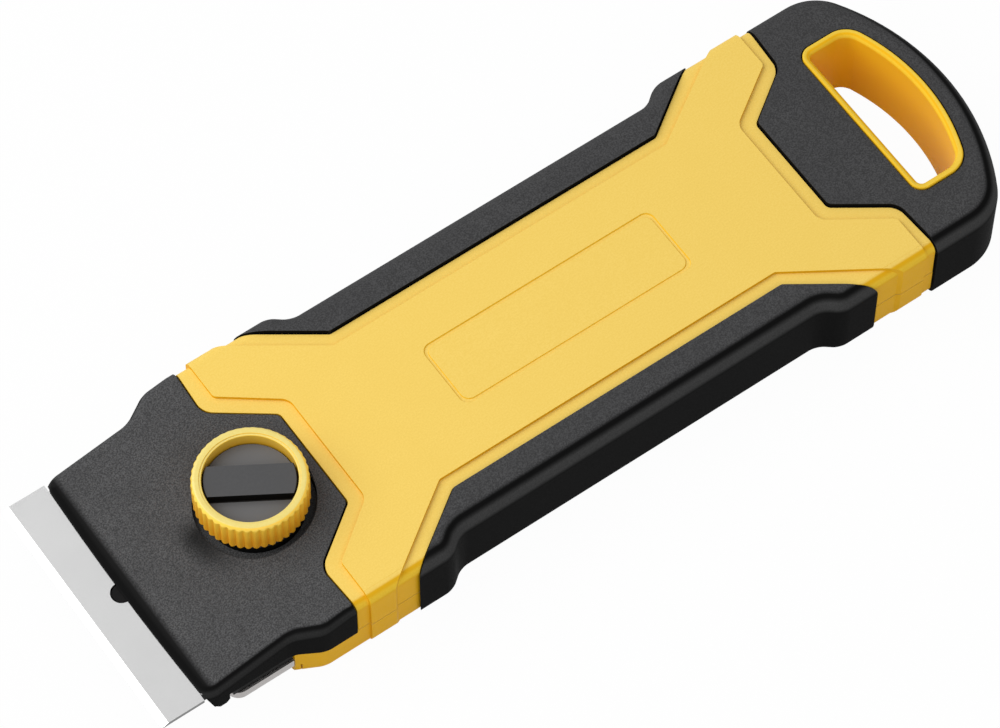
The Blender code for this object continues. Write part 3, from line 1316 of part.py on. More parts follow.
def make_return_spring():
    """A helix between the jaw's well and the cover's well, as one unbroken wire."""
    half_wire = SPRING_WIRE / 2
    low = JAW_TOP - SPRING_WELL_DEPTH + CLEARANCE + half_wire
    high = ROOF_UNDERSIDE - CLEARANCE - half_wire
    curve = bpy.data.curves.new("return_spring", "CURVE")
    curve.dimensions = "3D"
    curve.bevel_depth = half_wire
    curve.bevel_resolution = 1
    curve.use_fill_caps = True
    spline = curve.splines.new("POLY")
    count = round(SPRING_TURNS * TURN_POINTS)
    spline.points.add(count)
    for index, point in enumerate(spline.points):
        share = index / count
        angle = math.tau * SPRING_TURNS * share
        height = low + (high - low) * share
        point.co = (
            SPRING_RADIUS * math.cos(angle),
            SPRING_RADIUS * math.sin(angle),
            height,
            1.0,
        )
    pitch = (high - low) / SPRING_TURNS
    print(f"least gap between the spring's turns: {(pitch - SPRING_WIRE) / MM:.2f} mm")
    spring = mesh_object("return_spring", curve, PARTS)
    spring.location = (KNOB_X, 0.0, 0.0)
    curve.materials.append(FASTENER_STEEL)
    return spring


# Screws driven from the underside
def make_fasteners():
    head_bottom = COUNTERBORE_DEPTH - CLEARANCE - SCREW_PAN_HEIGHT
    under_tray = TRAY_BOTTOM - CLEARANCE - SCREW_PAN_HEIGHT
    rows = [
        ("shell_screw", station, SHELL_SCREW_HALF_SPREAD, head_bottom, SHELL_SCREW_TIP)
        for station in SHELL_SCREW_STATIONS
    ]
    rows += [
        ("tail_screw", TAIL_SCREW_STATION, TAIL_SCREW_HALF_SPREAD, head_bottom, TAIL_SCREW_TIP),
        (
            "rear_jaw_screw",
            REAR_JAW_SCREW_STATION,
            REAR_JAW_SCREW_HALF_SPREAD,
            head_bottom,
            FLANGE_TOP,
        ),
        (
            "front_jaw_screw",
            FRONT_JAW_SCREW_STATION,
            FRONT_JAW_SCREW_HALF_SPREAD,
            under_tray,
            FRONT_JAW_SCREW_TIP,
        ),
    ]
    counts = {}
    for name, station, half_spread, bottom, tip in rows:
        for y in (half_spread, -half_spread):
            counts[name] = counts.get(name, 0) + 1
            pan_head_screw(f"{name}_{counts[name]}", x_at(station), y, bottom, tip)


make_blade()
make_clamp_cover()
make_tray()
make_lower_jaw()
make_top_shell()
make_bottom_shell()
make_grip("left_grip", 1)
make_grip("right_grip", -1)
make_tail()
make_hole_liner()
make_knob_ring()
make_knob_insert()
make_clamp_screw()
make_knob_washer()
make_retaining_clip()
make_clamp_nut()
make_return_spring()
make_fasteners()
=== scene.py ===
# %% [markdown]
# # A hand scraper with a clamped blade
# The real tool is a heavy scraper: a steel blade in a black head, a yellow knob that opens the
# head's clamp, and a two-colour moulded handle that ends in a lined hanging hole. This lesson
# dresses the fixed CAD frame with finer shapes and with finishes that are made from nodes. One way
# is to paint the CAD solids as they are. Their rounds are coarse, though, so each moulding that
# shows is built again here, in the same place, and each is left riding on the same body.

# %% Load the frame
import json
import math

import bmesh
import bpy
from mathutils import Matrix, Vector


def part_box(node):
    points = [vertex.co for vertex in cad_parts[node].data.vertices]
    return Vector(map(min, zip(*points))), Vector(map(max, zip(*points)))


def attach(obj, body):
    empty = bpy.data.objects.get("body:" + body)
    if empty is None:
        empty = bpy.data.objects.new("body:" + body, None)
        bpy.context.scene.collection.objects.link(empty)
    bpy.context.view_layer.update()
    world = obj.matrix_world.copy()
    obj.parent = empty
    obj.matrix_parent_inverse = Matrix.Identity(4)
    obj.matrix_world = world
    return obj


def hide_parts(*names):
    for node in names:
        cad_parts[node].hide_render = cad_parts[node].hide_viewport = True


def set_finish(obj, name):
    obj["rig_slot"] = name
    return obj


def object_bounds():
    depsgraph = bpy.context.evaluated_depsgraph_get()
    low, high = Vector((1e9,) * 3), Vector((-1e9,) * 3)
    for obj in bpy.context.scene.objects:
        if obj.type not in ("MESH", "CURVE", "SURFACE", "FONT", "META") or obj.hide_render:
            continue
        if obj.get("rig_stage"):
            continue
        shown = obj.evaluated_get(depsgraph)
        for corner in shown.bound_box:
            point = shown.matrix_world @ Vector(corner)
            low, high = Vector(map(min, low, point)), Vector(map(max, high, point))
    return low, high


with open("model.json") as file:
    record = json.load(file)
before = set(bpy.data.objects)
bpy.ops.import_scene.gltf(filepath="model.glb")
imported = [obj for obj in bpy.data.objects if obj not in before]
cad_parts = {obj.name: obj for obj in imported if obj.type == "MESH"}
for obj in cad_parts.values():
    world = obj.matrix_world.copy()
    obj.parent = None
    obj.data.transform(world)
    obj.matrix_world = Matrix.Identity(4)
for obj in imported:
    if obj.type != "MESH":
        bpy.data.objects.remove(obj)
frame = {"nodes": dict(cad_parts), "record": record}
cad_low, cad_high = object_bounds()

# %% [markdown]
# ## Places and sizes
# A maker measures such a tool from its cutting edge, so every place along it is a station behind
# that edge. The cutting edge and the levels of the tops are read from the frame, and the rest are
# named sizes in millimetres. A number that has a name is easy to find again when a seam has to
# move. Faces are told apart by their normal: UPWARD and UPRIGHT are the limits for one that looks
# up and one that stands.

# %% Stations and levels
MM = 0.001
CUTTING_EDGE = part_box("blade")[0].x
BLADE_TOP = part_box("blade")[1].z
BLADE_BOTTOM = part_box("blade")[0].z
COVER_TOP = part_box("clamp_cover")[1].z
BODY_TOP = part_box("top_shell")[1].z
GRIP_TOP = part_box("left_grip")[1].z
LINER_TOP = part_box("hole_liner")[1].z
KNOB_LOW, KNOB_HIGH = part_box("knob_ring")
KNOB_X = (KNOB_LOW.x + KNOB_HIGH.x) / 2
SPLIT = (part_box("top_shell")[0].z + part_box("bottom_shell")[1].z) / 2
GAP = 0.3 * MM
SEAM = GAP / 2
OVERRUN = 4.0 * MM
SAME_PLACE = 0.003 * MM
ARC_STEP = math.radians(5)
HARD_ANGLE = math.radians(50)
UPWARD, UPRIGHT = 0.5, 0.2
print("cutting edge at", round(CUTTING_EDGE, 5), "split at", round(SPLIT, 5))

# %% [markdown]
# ## Tools for moulded forms
# A moulding seen from above is a plan with rounded corners, raised to its height, and with its
# edges rounded. It could be drawn as a curve with a thickness, but then its edges are hard to
# choose. Here the plan is one face. The inset draws it in by half of the seam's gap, a vertex bevel
# turns each corner into an arc, and an extrude raises it, so all its walls stay clean faces that a
# later bevel can find.

# %% Drawing a plan
def at(station):
    return CUTTING_EDGE + station


def clamped(share):
    return min(1.0, max(0.0, share))


def both_sides(*half):
    """Corners of the +Y side from rear to front, and the same ones mirrored.

    A corner is (station, y, radius). A sharp one has no radius.
    """
    return [*half, *((station, -y, *radius) for station, y, *radius in reversed(half))]


def bevel(bm, geom, offset, segments, affect):
    bmesh.ops.bevel(
        bm,
        geom=geom,
        offset=offset,
        offset_type="OFFSET",
        segments=segments,
        profile=0.5,
        affect=affect,
        material=-1,
        clamp_overlap=affect == "EDGES",
    )


def round_at(bm, place, radius=0.0):
    """Turns the corner nearest to a place into an arc. Without a radius it stays sharp."""
    if radius == 0.0:
        return
    place = Vector(place)
    corner = min(bm.verts, key=lambda vert: (vert.co - place).length)
    arms = [edge.other_vert(corner).co - corner.co for edge in corner.link_edges]
    half_angle = arms[0].angle(arms[1]) / 2
    segments = max(2, math.ceil((math.pi - 2 * half_angle) / ARC_STEP))
    bevel(bm, [corner], radius / math.tan(half_angle), segments, "VERTICES")


def inset(bm, wall):
    """Draws the plan's one face in, and returns the rim of faces round it."""
    bm.faces.ensure_lookup_table()
    return bmesh.ops.inset_region(
        bm, faces=bm.faces[:], thickness=wall, use_boundary=True, use_even_offset=True
    )["faces"]


def draw_in(bm, gap):
    """Draws the plan in by a gap, all round. A gap below 0 makes it larger."""
    if gap != 0.0:
        bmesh.ops.delete(bm, geom=inset(bm, gap), context="FACES")


def draw_plan(corners, level, gap=0.0):
    bm = bmesh.new()
    bm.faces.new([bm.verts.new((at(station), y, level)) for station, y, *_ in corners])
    bm.normal_update()
    draw_in(bm, gap)
    for station, y, *radius in corners:
        round_at(bm, (at(station), y, level), *radius)
    return bm


# %% Raising it and choosing its edges
def raise_plan(bm, height):
    raised = bmesh.ops.extrude_face_region(bm, geom=bm.faces[:])
    moved = [item for item in raised["geom"] if isinstance(item, bmesh.types.BMVert)]
    bmesh.ops.translate(bm, vec=(0.0, 0.0, height), verts=moved)
    bmesh.ops.recalc_face_normals(bm, faces=bm.faces)
    return bm


def slab(corners, bottom, top, gap=0.0):
    return raise_plan(draw_plan(corners, bottom, gap), top - bottom)


def wall_of(edge):
    """The normal of the more upright one of an edge's faces."""
    return min(edge.link_faces, key=lambda face: abs(face.normal.z)).normal


def middle_of(edge):
    return (edge.verts[0].co + edge.verts[1].co) / 2


def rim_edges(bm, level, chosen=lambda wall, middle: True):
    """Edges at a level, chosen by the normal of the wall at them and by their middle."""
    return [
        edge
        for edge in bm.edges
        if all(abs(vert.co.z - level) <= SAME_PLACE for vert in edge.verts)
        and chosen(wall_of(edge), middle_of(edge))
    ]


def round_edges(bm, edges, radius, segments):
    bevel(bm, edges, radius, segments, "EDGES")
    bm.normal_update()


def round_rim(bm, level, radius, segments, *chosen):
    round_edges(bm, rim_edges(bm, level, *chosen), radius, segments)


def break_edges(bm, width, above=-1.0):
    """Takes the sharpness off every hard edge above a level."""
    hard = [
        edge
        for edge in bm.edges
        if len(edge.link_faces) == 2
        and edge.calc_face_angle() > HARD_ANGLE
        and max(vert.co.z for vert in edge.verts) > above
    ]
    round_edges(bm, hard, width, 2)


# %% [markdown]
# ## Turned forms, objects and cuts
# A knob, a screw or a washer is turned, so its profile is drawn once and spun round an upright
# axis. A cut could be made with faces drawn by hand, but a Boolean with a tool of the same kind is
# safer where a pocket meets a rounded form. Each tool is removed once its cut is in the mesh.

# %% Turning
def turned(profile, x, y=0.0, steps=96):
    """Spins a closed profile of (radius, z) or (radius, z, rounding) about an upright axis."""
    bm = bmesh.new()
    bm.faces.new([bm.verts.new((x + radius, y, z)) for radius, z, *_ in profile])
    for radius, z, *rounding in profile:
        round_at(bm, (x + radius, y, z), *rounding)
    bmesh.ops.delete(bm, geom=bm.faces[:], context="FACES_ONLY")
    on_axis = [
        edge for edge in bm.edges if all(abs(vert.co.x - x) < SAME_PLACE for vert in edge.verts)
    ]
    bmesh.ops.delete(bm, geom=on_axis, context="EDGES")
    bmesh.ops.spin(
        bm,
        geom=[*bm.verts, *bm.edges],
        cent=(x, y, 0.0),
        axis=(0.0, 0.0, 1.0),
        angle=math.tau,
        steps=steps,
        use_merge=True,
    )
    bmesh.ops.remove_doubles(bm, verts=bm.verts, dist=SAME_PLACE)
    bmesh.ops.recalc_face_normals(bm, faces=bm.faces)
    return bm


def rod(x, y, radius, bottom, top, sides=64):
    bm = bmesh.new()
    bmesh.ops.create_cone(
        bm, cap_ends=True, segments=sides, radius1=radius, radius2=radius, depth=top - bottom
    )
    bmesh.ops.translate(bm, vec=(x, y, (bottom + top) / 2), verts=bm.verts)
    return bm


def block(low, high):
    bm = bmesh.new()
    bmesh.ops.create_cube(bm, size=1.0)
    low, high = Vector(low), Vector(high)
    bmesh.ops.scale(bm, vec=high - low, verts=bm.verts)
    bmesh.ops.translate(bm, vec=(low + high) / 2, verts=bm.verts)
    return bm


def slice_off(bm, point, normal):
    """Cuts away what lies beyond a plane and closes the cut."""
    bmesh.ops.bisect_plane(
        bm,
        geom=[*bm.verts, *bm.edges, *bm.faces],
        plane_co=point,
        plane_no=Vector(normal).normalized(),
        clear_outer=True,
    )
    bmesh.ops.holes_fill(bm, edges=[edge for edge in bm.edges if edge.is_boundary], sides=0)
    bmesh.ops.recalc_face_normals(bm, faces=bm.faces)
    return bm


# %% Objects and Booleans
def new_object(name, data):
    made = bpy.data.objects.new(name, data)
    bpy.context.scene.collection.objects.link(made)
    return made


def make_object(name, bm):
    mesh = bpy.data.meshes.new(name)
    bm.to_mesh(mesh)
    bm.free()
    return new_object(name, mesh)


def combine(piece, operation, forms):
    """Adds forms to a piece or cuts them out of it, and makes the result its mesh."""
    tools = [make_object("tool", form) for form in forms]
    for tool in tools:
        modifier = piece.modifiers.new("combine", "BOOLEAN")
        modifier.operation = operation
        modifier.solver = "EXACT"
        modifier.object = tool
    bpy.context.view_layer.update()
    shaped = piece.evaluated_get(bpy.context.evaluated_depsgraph_get())
    mesh = bpy.data.meshes.new_from_object(shaped)
    piece.modifiers.clear()
    piece.data = mesh
    for tool in tools:
        bpy.data.objects.remove(tool)


def cut(piece, *forms):
    combine(piece, "DIFFERENCE", forms)


def join(piece, *forms):
    combine(piece, "UNION", forms)


# %% Giving a piece its body and finish
MATERIALS = {}
DRESSED = []
BODIES = frame["record"]["behaviour"]["bodies"]
BODY_OF = {node: body for body, nodes in BODIES.items() for node in nodes}
SLOT_OF = {part["node"]: part["material_slot"] for part in frame["record"]["subparts"]}


def dress(piece, node, sharp=30.0):
    """Smooths a piece, and puts it in the place of its CAD node, with that node's slot and body."""
    piece.data.materials.clear()
    piece.data.shade_smooth()
    piece.data.set_sharp_from_angle(angle=math.radians(sharp))
    flat_faces = piece.modifiers.new("flat_faces", "WEIGHTED_NORMAL")
    flat_faces.keep_sharp = True
    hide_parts(node)
    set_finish(piece, SLOT_OF[node])
    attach(piece, BODY_OF[node])
    DRESSED.append(piece)
    print(piece.name, "for", node, "on", BODY_OF[node], len(piece.data.polygons), "faces")


# %% [markdown]
# ## The blade
# The blade is a plate of tool steel, ground on its top face to a cutting bevel, with a round hole
# that drops over a peg. It is a plain plan with a neck. One plane cuts the bevel, which leaves the
# thin flat land at the very edge that every real blade has.

# %% Blade
BLADE_HALF = 30.0 * MM
BLADE_NECK_HALF = 28.3 * MM
BLADE_NECK = 10.3 * MM
BLADE_REAR = 20.0 * MM
BLADE_CORNER = 0.7 * MM
BEVEL_LENGTH = 1.64 * MM
EDGE_LAND = 0.12 * MM
PEG_STATION = 9.9 * MM
BLADE_HOLE = 2.4 * MM

blade_plan = both_sides(
    (BLADE_REAR, BLADE_NECK_HALF),
    (BLADE_NECK, BLADE_NECK_HALF),
    (BLADE_NECK, BLADE_HALF),
    (0.0, BLADE_HALF, BLADE_CORNER),
)
blade_form = slab(blade_plan, BLADE_BOTTOM, BLADE_TOP)
bevel_fall = BLADE_TOP - BLADE_BOTTOM - EDGE_LAND
slice_off(blade_form, (at(BEVEL_LENGTH), 0.0, BLADE_TOP), (-bevel_fall, 0.0, BEVEL_LENGTH))
ground_blade = make_object("ground_blade", blade_form)
peg_hole = rod(at(PEG_STATION), 0.0, BLADE_HOLE, BLADE_BOTTOM - OVERRUN, BLADE_TOP + OVERRUN)
cut(ground_blade, peg_hole)
dress(ground_blade, "blade", sharp=5.0)

# %% [markdown]
# ## The clamp cover
# The cover is the black wedge that presses the blade down. Its plan steps out behind the head to
# the handle's width, and its rear follows the seam of the yellow shell. A plane cuts the slope of
# the wedge, and the bevel then follows the slope's own edge. The lip over the blade bows forward in
# its middle. A curved plan would bend the round's upper line too, so the plan stays straight, the
# form is divided into strips, and the points of the front round move forward, the lower ones
# further.

# %% Seam of the nose and plan of the cover
NOSE_SIDE = 44.5 * MM
NOSE_SIDE_OUT = 45.2 * MM
NOSE_KNEE_HALF = 22.0 * MM
NOSE_MIDDLE = 57.4 * MM
NOSE_MIDDLE_HALF = 12.5 * MM
KNEE_RADIUS = 4.0 * MM
TIP_RADIUS = 1.6 * MM
COVER_FRONT = 10.6 * MM
COVER_HALF = 30.6 * MM
COVER_CORNER = 3.0 * MM
SHOULDER_START = 31.2 * MM
SHOULDER_END = 37.2 * MM
SHOULDER_HALF = 34.0 * MM
SHOULDER_RADIUS = 5.5 * MM


def cover_plan(wall=0.0, out=SEAM):
    """Its free sides are drawn half a gap out, because the plan is then drawn in."""
    return both_sides(
        (NOSE_MIDDLE, NOSE_MIDDLE_HALF, TIP_RADIUS),
        (NOSE_SIDE, NOSE_KNEE_HALF, KNEE_RADIUS),
        (NOSE_SIDE_OUT, SHOULDER_HALF + out),
        (SHOULDER_END, SHOULDER_HALF + out, SHOULDER_RADIUS),
        (SHOULDER_START, COVER_HALF + out, SHOULDER_RADIUS),
        (COVER_FRONT - out - wall, COVER_HALF + out, COVER_CORNER),
    )


# %% Wedge of the cover
COVER_BOTTOM = SPLIT + SEAM
NUB_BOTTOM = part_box("clamp_cover")[0].z
SLOPE_END = 43.0 * MM
CLAMP_PLANE = BLADE_TOP + GAP
NOSE_TOP = CLAMP_PLANE + 0.83 * MM
SLOPE = (COVER_TOP - NOSE_TOP) / (SLOPE_END - COVER_FRONT)
COVER_EDGE = 2.5 * MM
SEAM_BREAK = 0.25 * MM
LIP_PUSH = 0.85 * MM
LIP_BOW = 0.85 * MM
LIP_STRIPS = 12

cover_form = slab(cover_plan(), NUB_BOTTOM, COVER_TOP, SEAM)
slice_off(cover_form, (at(SLOPE_END), 0.0, COVER_TOP), (-SLOPE, 0.0, 1.0))
top_rim = [
    edge
    for edge in cover_form.edges
    if max(face.normal.z for face in edge.link_faces) > UPWARD
    and abs(wall_of(edge).z) < UPRIGHT
    and middle_of(edge).x < at(NOSE_SIDE) - SEAM - SAME_PLACE
]
round_edges(cover_form, top_rim, COVER_EDGE, 8)
for strip in range(1, LIP_STRIPS):
    bmesh.ops.bisect_plane(
        cover_form,
        geom=[*cover_form.verts, *cover_form.edges, *cover_form.faces],
        dist=SAME_PLACE,
        plane_co=(0.0, COVER_HALF * (2 * strip / LIP_STRIPS - 1), 0.0),
        plane_no=(0.0, 1.0, 0.0),
    )
for vert in cover_form.verts:
    down = clamped((at(COVER_FRONT) + COVER_EDGE - vert.co.x) / COVER_EDGE)
    middle = clamped(1.0 - (vert.co.y / COVER_HALF) ** 2)
    vert.co.x -= down * (LIP_PUSH + LIP_BOW * middle)
cover_form.normal_update()
break_edges(cover_form, SEAM_BREAK, above=COVER_BOTTOM)
dressed_cover = make_object("cover_moulding", cover_form)
print("wedge", len(dressed_cover.data.polygons), "faces")

# %% [markdown]
# The knob needs a level seat on the sloping cover, and the seat flows into the slope without an
# edge. A turned pad would end in a hard line where it meets the slope. Here the pad is a stack of
# rings, and each ring's points are lifted to a height between the level seat and the sloping plane,
# so the last ring lies in the slope. Behind the knob's axis the cover is higher than the seat, and
# there the seat is a round recess. A narrow moat stands a little off the knob's axis, so it comes
# out from under the knob as a crescent.

# %% Seat of the knob
SEAT_TOP = 18.5 * MM
SEAT_RADIUS = 11.3 * MM
SEAT_FOOT = 19.6 * MM
SEAT_FALL = 2.2
SEAT_RINGS = 14
SEAT_SINK = 0.04 * MM
SEAT_DEPTH = 4.5 * MM
RECESS_RADIUS = 13.2 * MM
MOAT_INSIDE = 10.6 * MM
MOAT_RADIUS = 12.9 * MM
MOAT_X, MOAT_Y = KNOB_X - 0.1 * MM, -1.2 * MM
MOAT_DEPTH = 2.3 * MM
SCREW_RADIUS = 3.0 * MM


def slope_height(x):
    """The height of the cover's sloping plane."""
    return COVER_TOP - SLOPE * (at(SLOPE_END) - x)


def seat_height(x, y):
    """Level under the knob, then a fall that eases out into the slope."""
    run = (math.hypot(x - KNOB_X, y) - SEAT_RADIUS) / (SEAT_FOOT - SEAT_RADIUS)
    fall = 1.0 - (1.0 - clamped(run)) ** SEAT_FALL
    return SEAT_TOP + (slope_height(x) - SEAT_SINK - SEAT_TOP) * fall


ring_step = (SEAT_FOOT - SEAT_RADIUS) / SEAT_RINGS
seat_form = turned(
    [
        (0.0, SEAT_TOP),
        *((SEAT_RADIUS + ring_step * ring, SEAT_TOP) for ring in range(SEAT_RINGS + 1)),
        (SEAT_FOOT, SEAT_TOP - SEAT_DEPTH),
        (0.0, SEAT_TOP - SEAT_DEPTH),
    ],
    KNOB_X,
)
for vert in seat_form.verts:
    if vert.co.z > SEAT_TOP - SAME_PLACE:
        vert.co.z = seat_height(vert.co.x, vert.co.y)
slice_off(seat_form, (KNOB_X, 0.0, SEAT_TOP), (1.0, 0.0, 0.0))
join(dressed_cover, seat_form)
print("wedge with its seat", len(dressed_cover.data.polygons), "faces")

# %% [markdown]
# Underneath, the cover is a shell: its skirt hangs over the jaw, two nubs hold the sides of the
# blade, and a round well holds the return spring. These hollows are cut with plain tools, since
# they only show when the cover is lifted.

# %% Hollows of the cover
SKIRT = 2.0 * MM
NUB_LENGTH = 5.3 * MM
NUB_RAKE = 2.0 * MM
NUB_CHAMFER = 0.9 * MM
HOLLOW_FRONT = 33.0 * MM
HOLLOW_HALF = 24.0 * MM
ROOF = 2.4 * MM
SPRING_WELL = 6.0 * MM

under = NUB_BOTTOM - OVERRUN
nub_front = at(BLADE_NECK) + GAP
nub_rear = nub_front + NUB_LENGTH
wide = SHOULDER_HALF + OVERRUN
mouth_half = COVER_HALF - SKIRT
hollow_top = COVER_TOP - SLOPE * (SLOPE_END - HOLLOW_FRONT) - ROOF
clamp_space = slab(cover_plan(SKIRT, 0.0), under, CLAMP_PLANE, SKIRT)
hollow_plan = both_sides(
    (NOSE_MIDDLE - 2 * SKIRT, NOSE_MIDDLE_HALF - SKIRT, TIP_RADIUS),
    (NOSE_SIDE - 2 * SKIRT, NOSE_KNEE_HALF, KNEE_RADIUS),
    (NOSE_SIDE - 2 * SKIRT, HOLLOW_HALF),
    (HOLLOW_FRONT, HOLLOW_HALF),
)
hollow_space = slab(hollow_plan, CLAMP_PLANE - OVERRUN, hollow_top)
moat_floor = SEAT_TOP - MOAT_DEPTH
moat_profile = [
    (MOAT_INSIDE, moat_floor),
    (MOAT_RADIUS, moat_floor),
    (MOAT_RADIUS, BODY_TOP),
    (MOAT_INSIDE, BODY_TOP),
]
moat = turned(moat_profile, MOAT_X, MOAT_Y, steps=128)
blade_way = block((at(0.0), -wide, under), (nub_rear, wide, CLAMP_PLANE))
slice_off(blade_way, (nub_front, 0.0, CLAMP_PLANE), (CLAMP_PLANE - NUB_BOTTOM, 0.0, NUB_RAKE))


def nub_corner(x, inward):
    """Takes the corner off a nub's lower edge. The nub lies on the inward side of x."""
    top = NUB_BOTTOM + NUB_CHAMFER
    form = block((x - NUB_CHAMFER, -wide, under), (x + NUB_CHAMFER, wide, top))
    return slice_off(form, (x, 0.0, top), (inward, 0.0, 1.0))


cut(
    dressed_cover,
    clamp_space,
    blade_way,
    nub_corner(nub_front + NUB_RAKE, 1.0),
    nub_corner(nub_rear, -1.0),
    block((nub_rear, -wide, under), (at(NOSE_MIDDLE) + OVERRUN, wide, COVER_BOTTOM)),
    block((at(0.0), -mouth_half, under), (nub_rear, mouth_half, CLAMP_PLANE)),
    hollow_space,
    rod(KNOB_X, 0.0, SPRING_WELL, CLAMP_PLANE, SEAT_TOP - ROOF),
    rod(KNOB_X, 0.0, SCREW_RADIUS + GAP, CLAMP_PLANE, BODY_TOP),
    rod(KNOB_X, 0.0, RECESS_RADIUS, SEAT_TOP, BODY_TOP, sides=128),
    moat,
)
dress(dressed_cover, "clamp_cover")

# %% [markdown]
# ## The knob
# The ring of the knob is turned and then fluted, so that a thumb can grip it. A cutter for each
# flute would leave hard edges where it stops. The outer wall is drawn in by a row of round lobes
# instead, and the lobes fade out in the lip, as moulded flutes do.

# %% Knob ring
RING_RADIUS = KNOB_HIGH.x - KNOB_X
RING_TOP, RING_BOTTOM = KNOB_HIGH.z, KNOB_LOW.z
RING_INNER = 9.95 * MM
RING_LEDGE = 8.55 * MM
LEDGE_HEIGHT = 1.6 * MM
LIP_OUTSIDE = 1.0 * MM
LIP_INSIDE = 0.2 * MM
BEAD_WIDTH = 0.5 * MM
BEAD_DROP = 0.22 * MM
RING_FOOT = 0.4 * MM
FLUTES = 44
FLUTE_DEPTH = 0.5 * MM
STEPS_A_FLUTE = 10
FLUTE_START = 0.25 * MM
FLUTE_FADE = 0.9 * MM
FLUTED_FROM = 0.55

ring_form = turned(
    [
        (RING_INNER, RING_TOP - BEAD_DROP, LIP_INSIDE),
        (RING_INNER + BEAD_WIDTH, RING_TOP - BEAD_DROP),
        (RING_INNER + BEAD_WIDTH, RING_TOP, BEAD_DROP / 2),
        (RING_RADIUS, RING_TOP, LIP_OUTSIDE),
        (RING_RADIUS, RING_TOP - 2 * LIP_OUTSIDE),
        (RING_RADIUS, RING_BOTTOM, RING_FOOT),
        (RING_LEDGE, RING_BOTTOM),
        (RING_LEDGE, RING_BOTTOM + LEDGE_HEIGHT),
        (RING_INNER, RING_BOTTOM + LEDGE_HEIGHT),
    ],
    KNOB_X,
    steps=FLUTES * STEPS_A_FLUTE,
)
for vert in ring_form.verts:
    arm = Vector((vert.co.x - KNOB_X, vert.co.y))
    outer_share = (arm.length - RING_INNER) / (RING_RADIUS - RING_INNER)
    if outer_share < FLUTED_FROM:
        continue
    fade = clamped((RING_TOP - FLUTE_START - vert.co.z) / FLUTE_FADE)
    lobe = abs(math.sin(FLUTES * math.atan2(arm.y, arm.x) / 2))
    depth = FLUTE_DEPTH * fade * (1.0 - lobe)
    vert.co.xy -= arm.normalized() * depth
knob_moulding = make_object("knob_moulding", ring_form)
dress(knob_moulding, "knob_ring", sharp=40.0)

# %% [markdown]
# The insert closes the knob and takes the screw's head. A plain finger bar runs across it between
# two pockets, which are open to the ring's wall. Each pocket's tool is a disc with a strip cut
# away, which leaves a D, and the pair is turned about the screw's axis.

# %% Knob insert
INSERT_RADIUS = 9.65 * MM
INSERT_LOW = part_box("knob_insert")[0]
INSERT_SPIGOT = 8.25 * MM
INSERT_EDGE = 0.3 * MM
INSERT_STEP = 0.8 * MM
POCKET_RADIUS = INSERT_RADIUS + 1.0 * MM
POCKET_DEPTH = 2.5 * MM
POCKET_FOOT = 0.25 * MM
BAR_HALF = 3.5 * MM
BAR_ANGLE = math.radians(-32.0)
HEAD_ACROSS = 10.0 * MM
HEAD_HEIGHT = 2.6 * MM

shoulder = RING_BOTTOM + LEDGE_HEIGHT + GAP
insert_top = RING_TOP - INSERT_STEP
insert_form = turned(
    [
        (0.0, insert_top),
        (INSERT_RADIUS, insert_top, INSERT_EDGE),
        (INSERT_RADIUS, shoulder),
        (INSERT_SPIGOT, shoulder),
        (INSERT_SPIGOT, INSERT_LOW.z),
        (0.0, INSERT_LOW.z),
    ],
    KNOB_X,
)
knob_plug = make_object("knob_plug", insert_form)


def finger_pocket(side):
    floor = insert_top - POCKET_DEPTH
    form = rod(KNOB_X, 0.0, POCKET_RADIUS, floor, insert_top + OVERRUN, sides=96)
    slice_off(form, (KNOB_X, side * BAR_HALF, floor), (0.0, -side, 0.0))
    round_rim(form, floor, POCKET_FOOT, 3)
    turn = Matrix.Rotation(BAR_ANGLE, 3, "Z")
    bmesh.ops.rotate(form, cent=(KNOB_X, 0.0, 0.0), matrix=turn, verts=form.verts)
    return form


socket_radius = (HEAD_ACROSS + 2 * GAP) / math.sqrt(3)
socket_top = INSERT_LOW.z + HEAD_HEIGHT + GAP
head_socket = rod(KNOB_X, 0.0, socket_radius, INSERT_LOW.z - OVERRUN, socket_top, sides=6)
cut(knob_plug, finger_pocket(1), finger_pocket(-1), head_socket)
dress(knob_plug, "knob_insert")

# %% [markdown]
# ## The steel tray
# Under the head lies a tray of pressed sheet. Pressed sheet has one thickness and a round at each
# bend, so the tray is made as a bent sheet: walls and floor without a lid, the bend bevelled, and
# then a Solidify modifier gives the sheet its thickness inwards.

# %% Steel tray
TRAY_LOW, TRAY_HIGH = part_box("steel_tray")
TRAY_FRONT = 16.6 * MM
TRAY_REAR_SIDE = 31.3 * MM
TRAY_HALF = TRAY_HIGH.y
TRAY_CORNER = 3.0 * MM
TANG_HALF = 26.0 * MM
TANG_TAPER = 50.0 * MM
TANG_REAR = 64.0 * MM
TANG_REAR_HALF = 14.0 * MM
SHEET = 1.2 * MM
BEND = 0.9 * MM
SCREW_HOLE = 1.8 * MM
FRONT_JAW_SCREW = (24.0 * MM, 19.0 * MM)
REAR_JAW_SCREW = (50.0 * MM, 6.0 * MM)

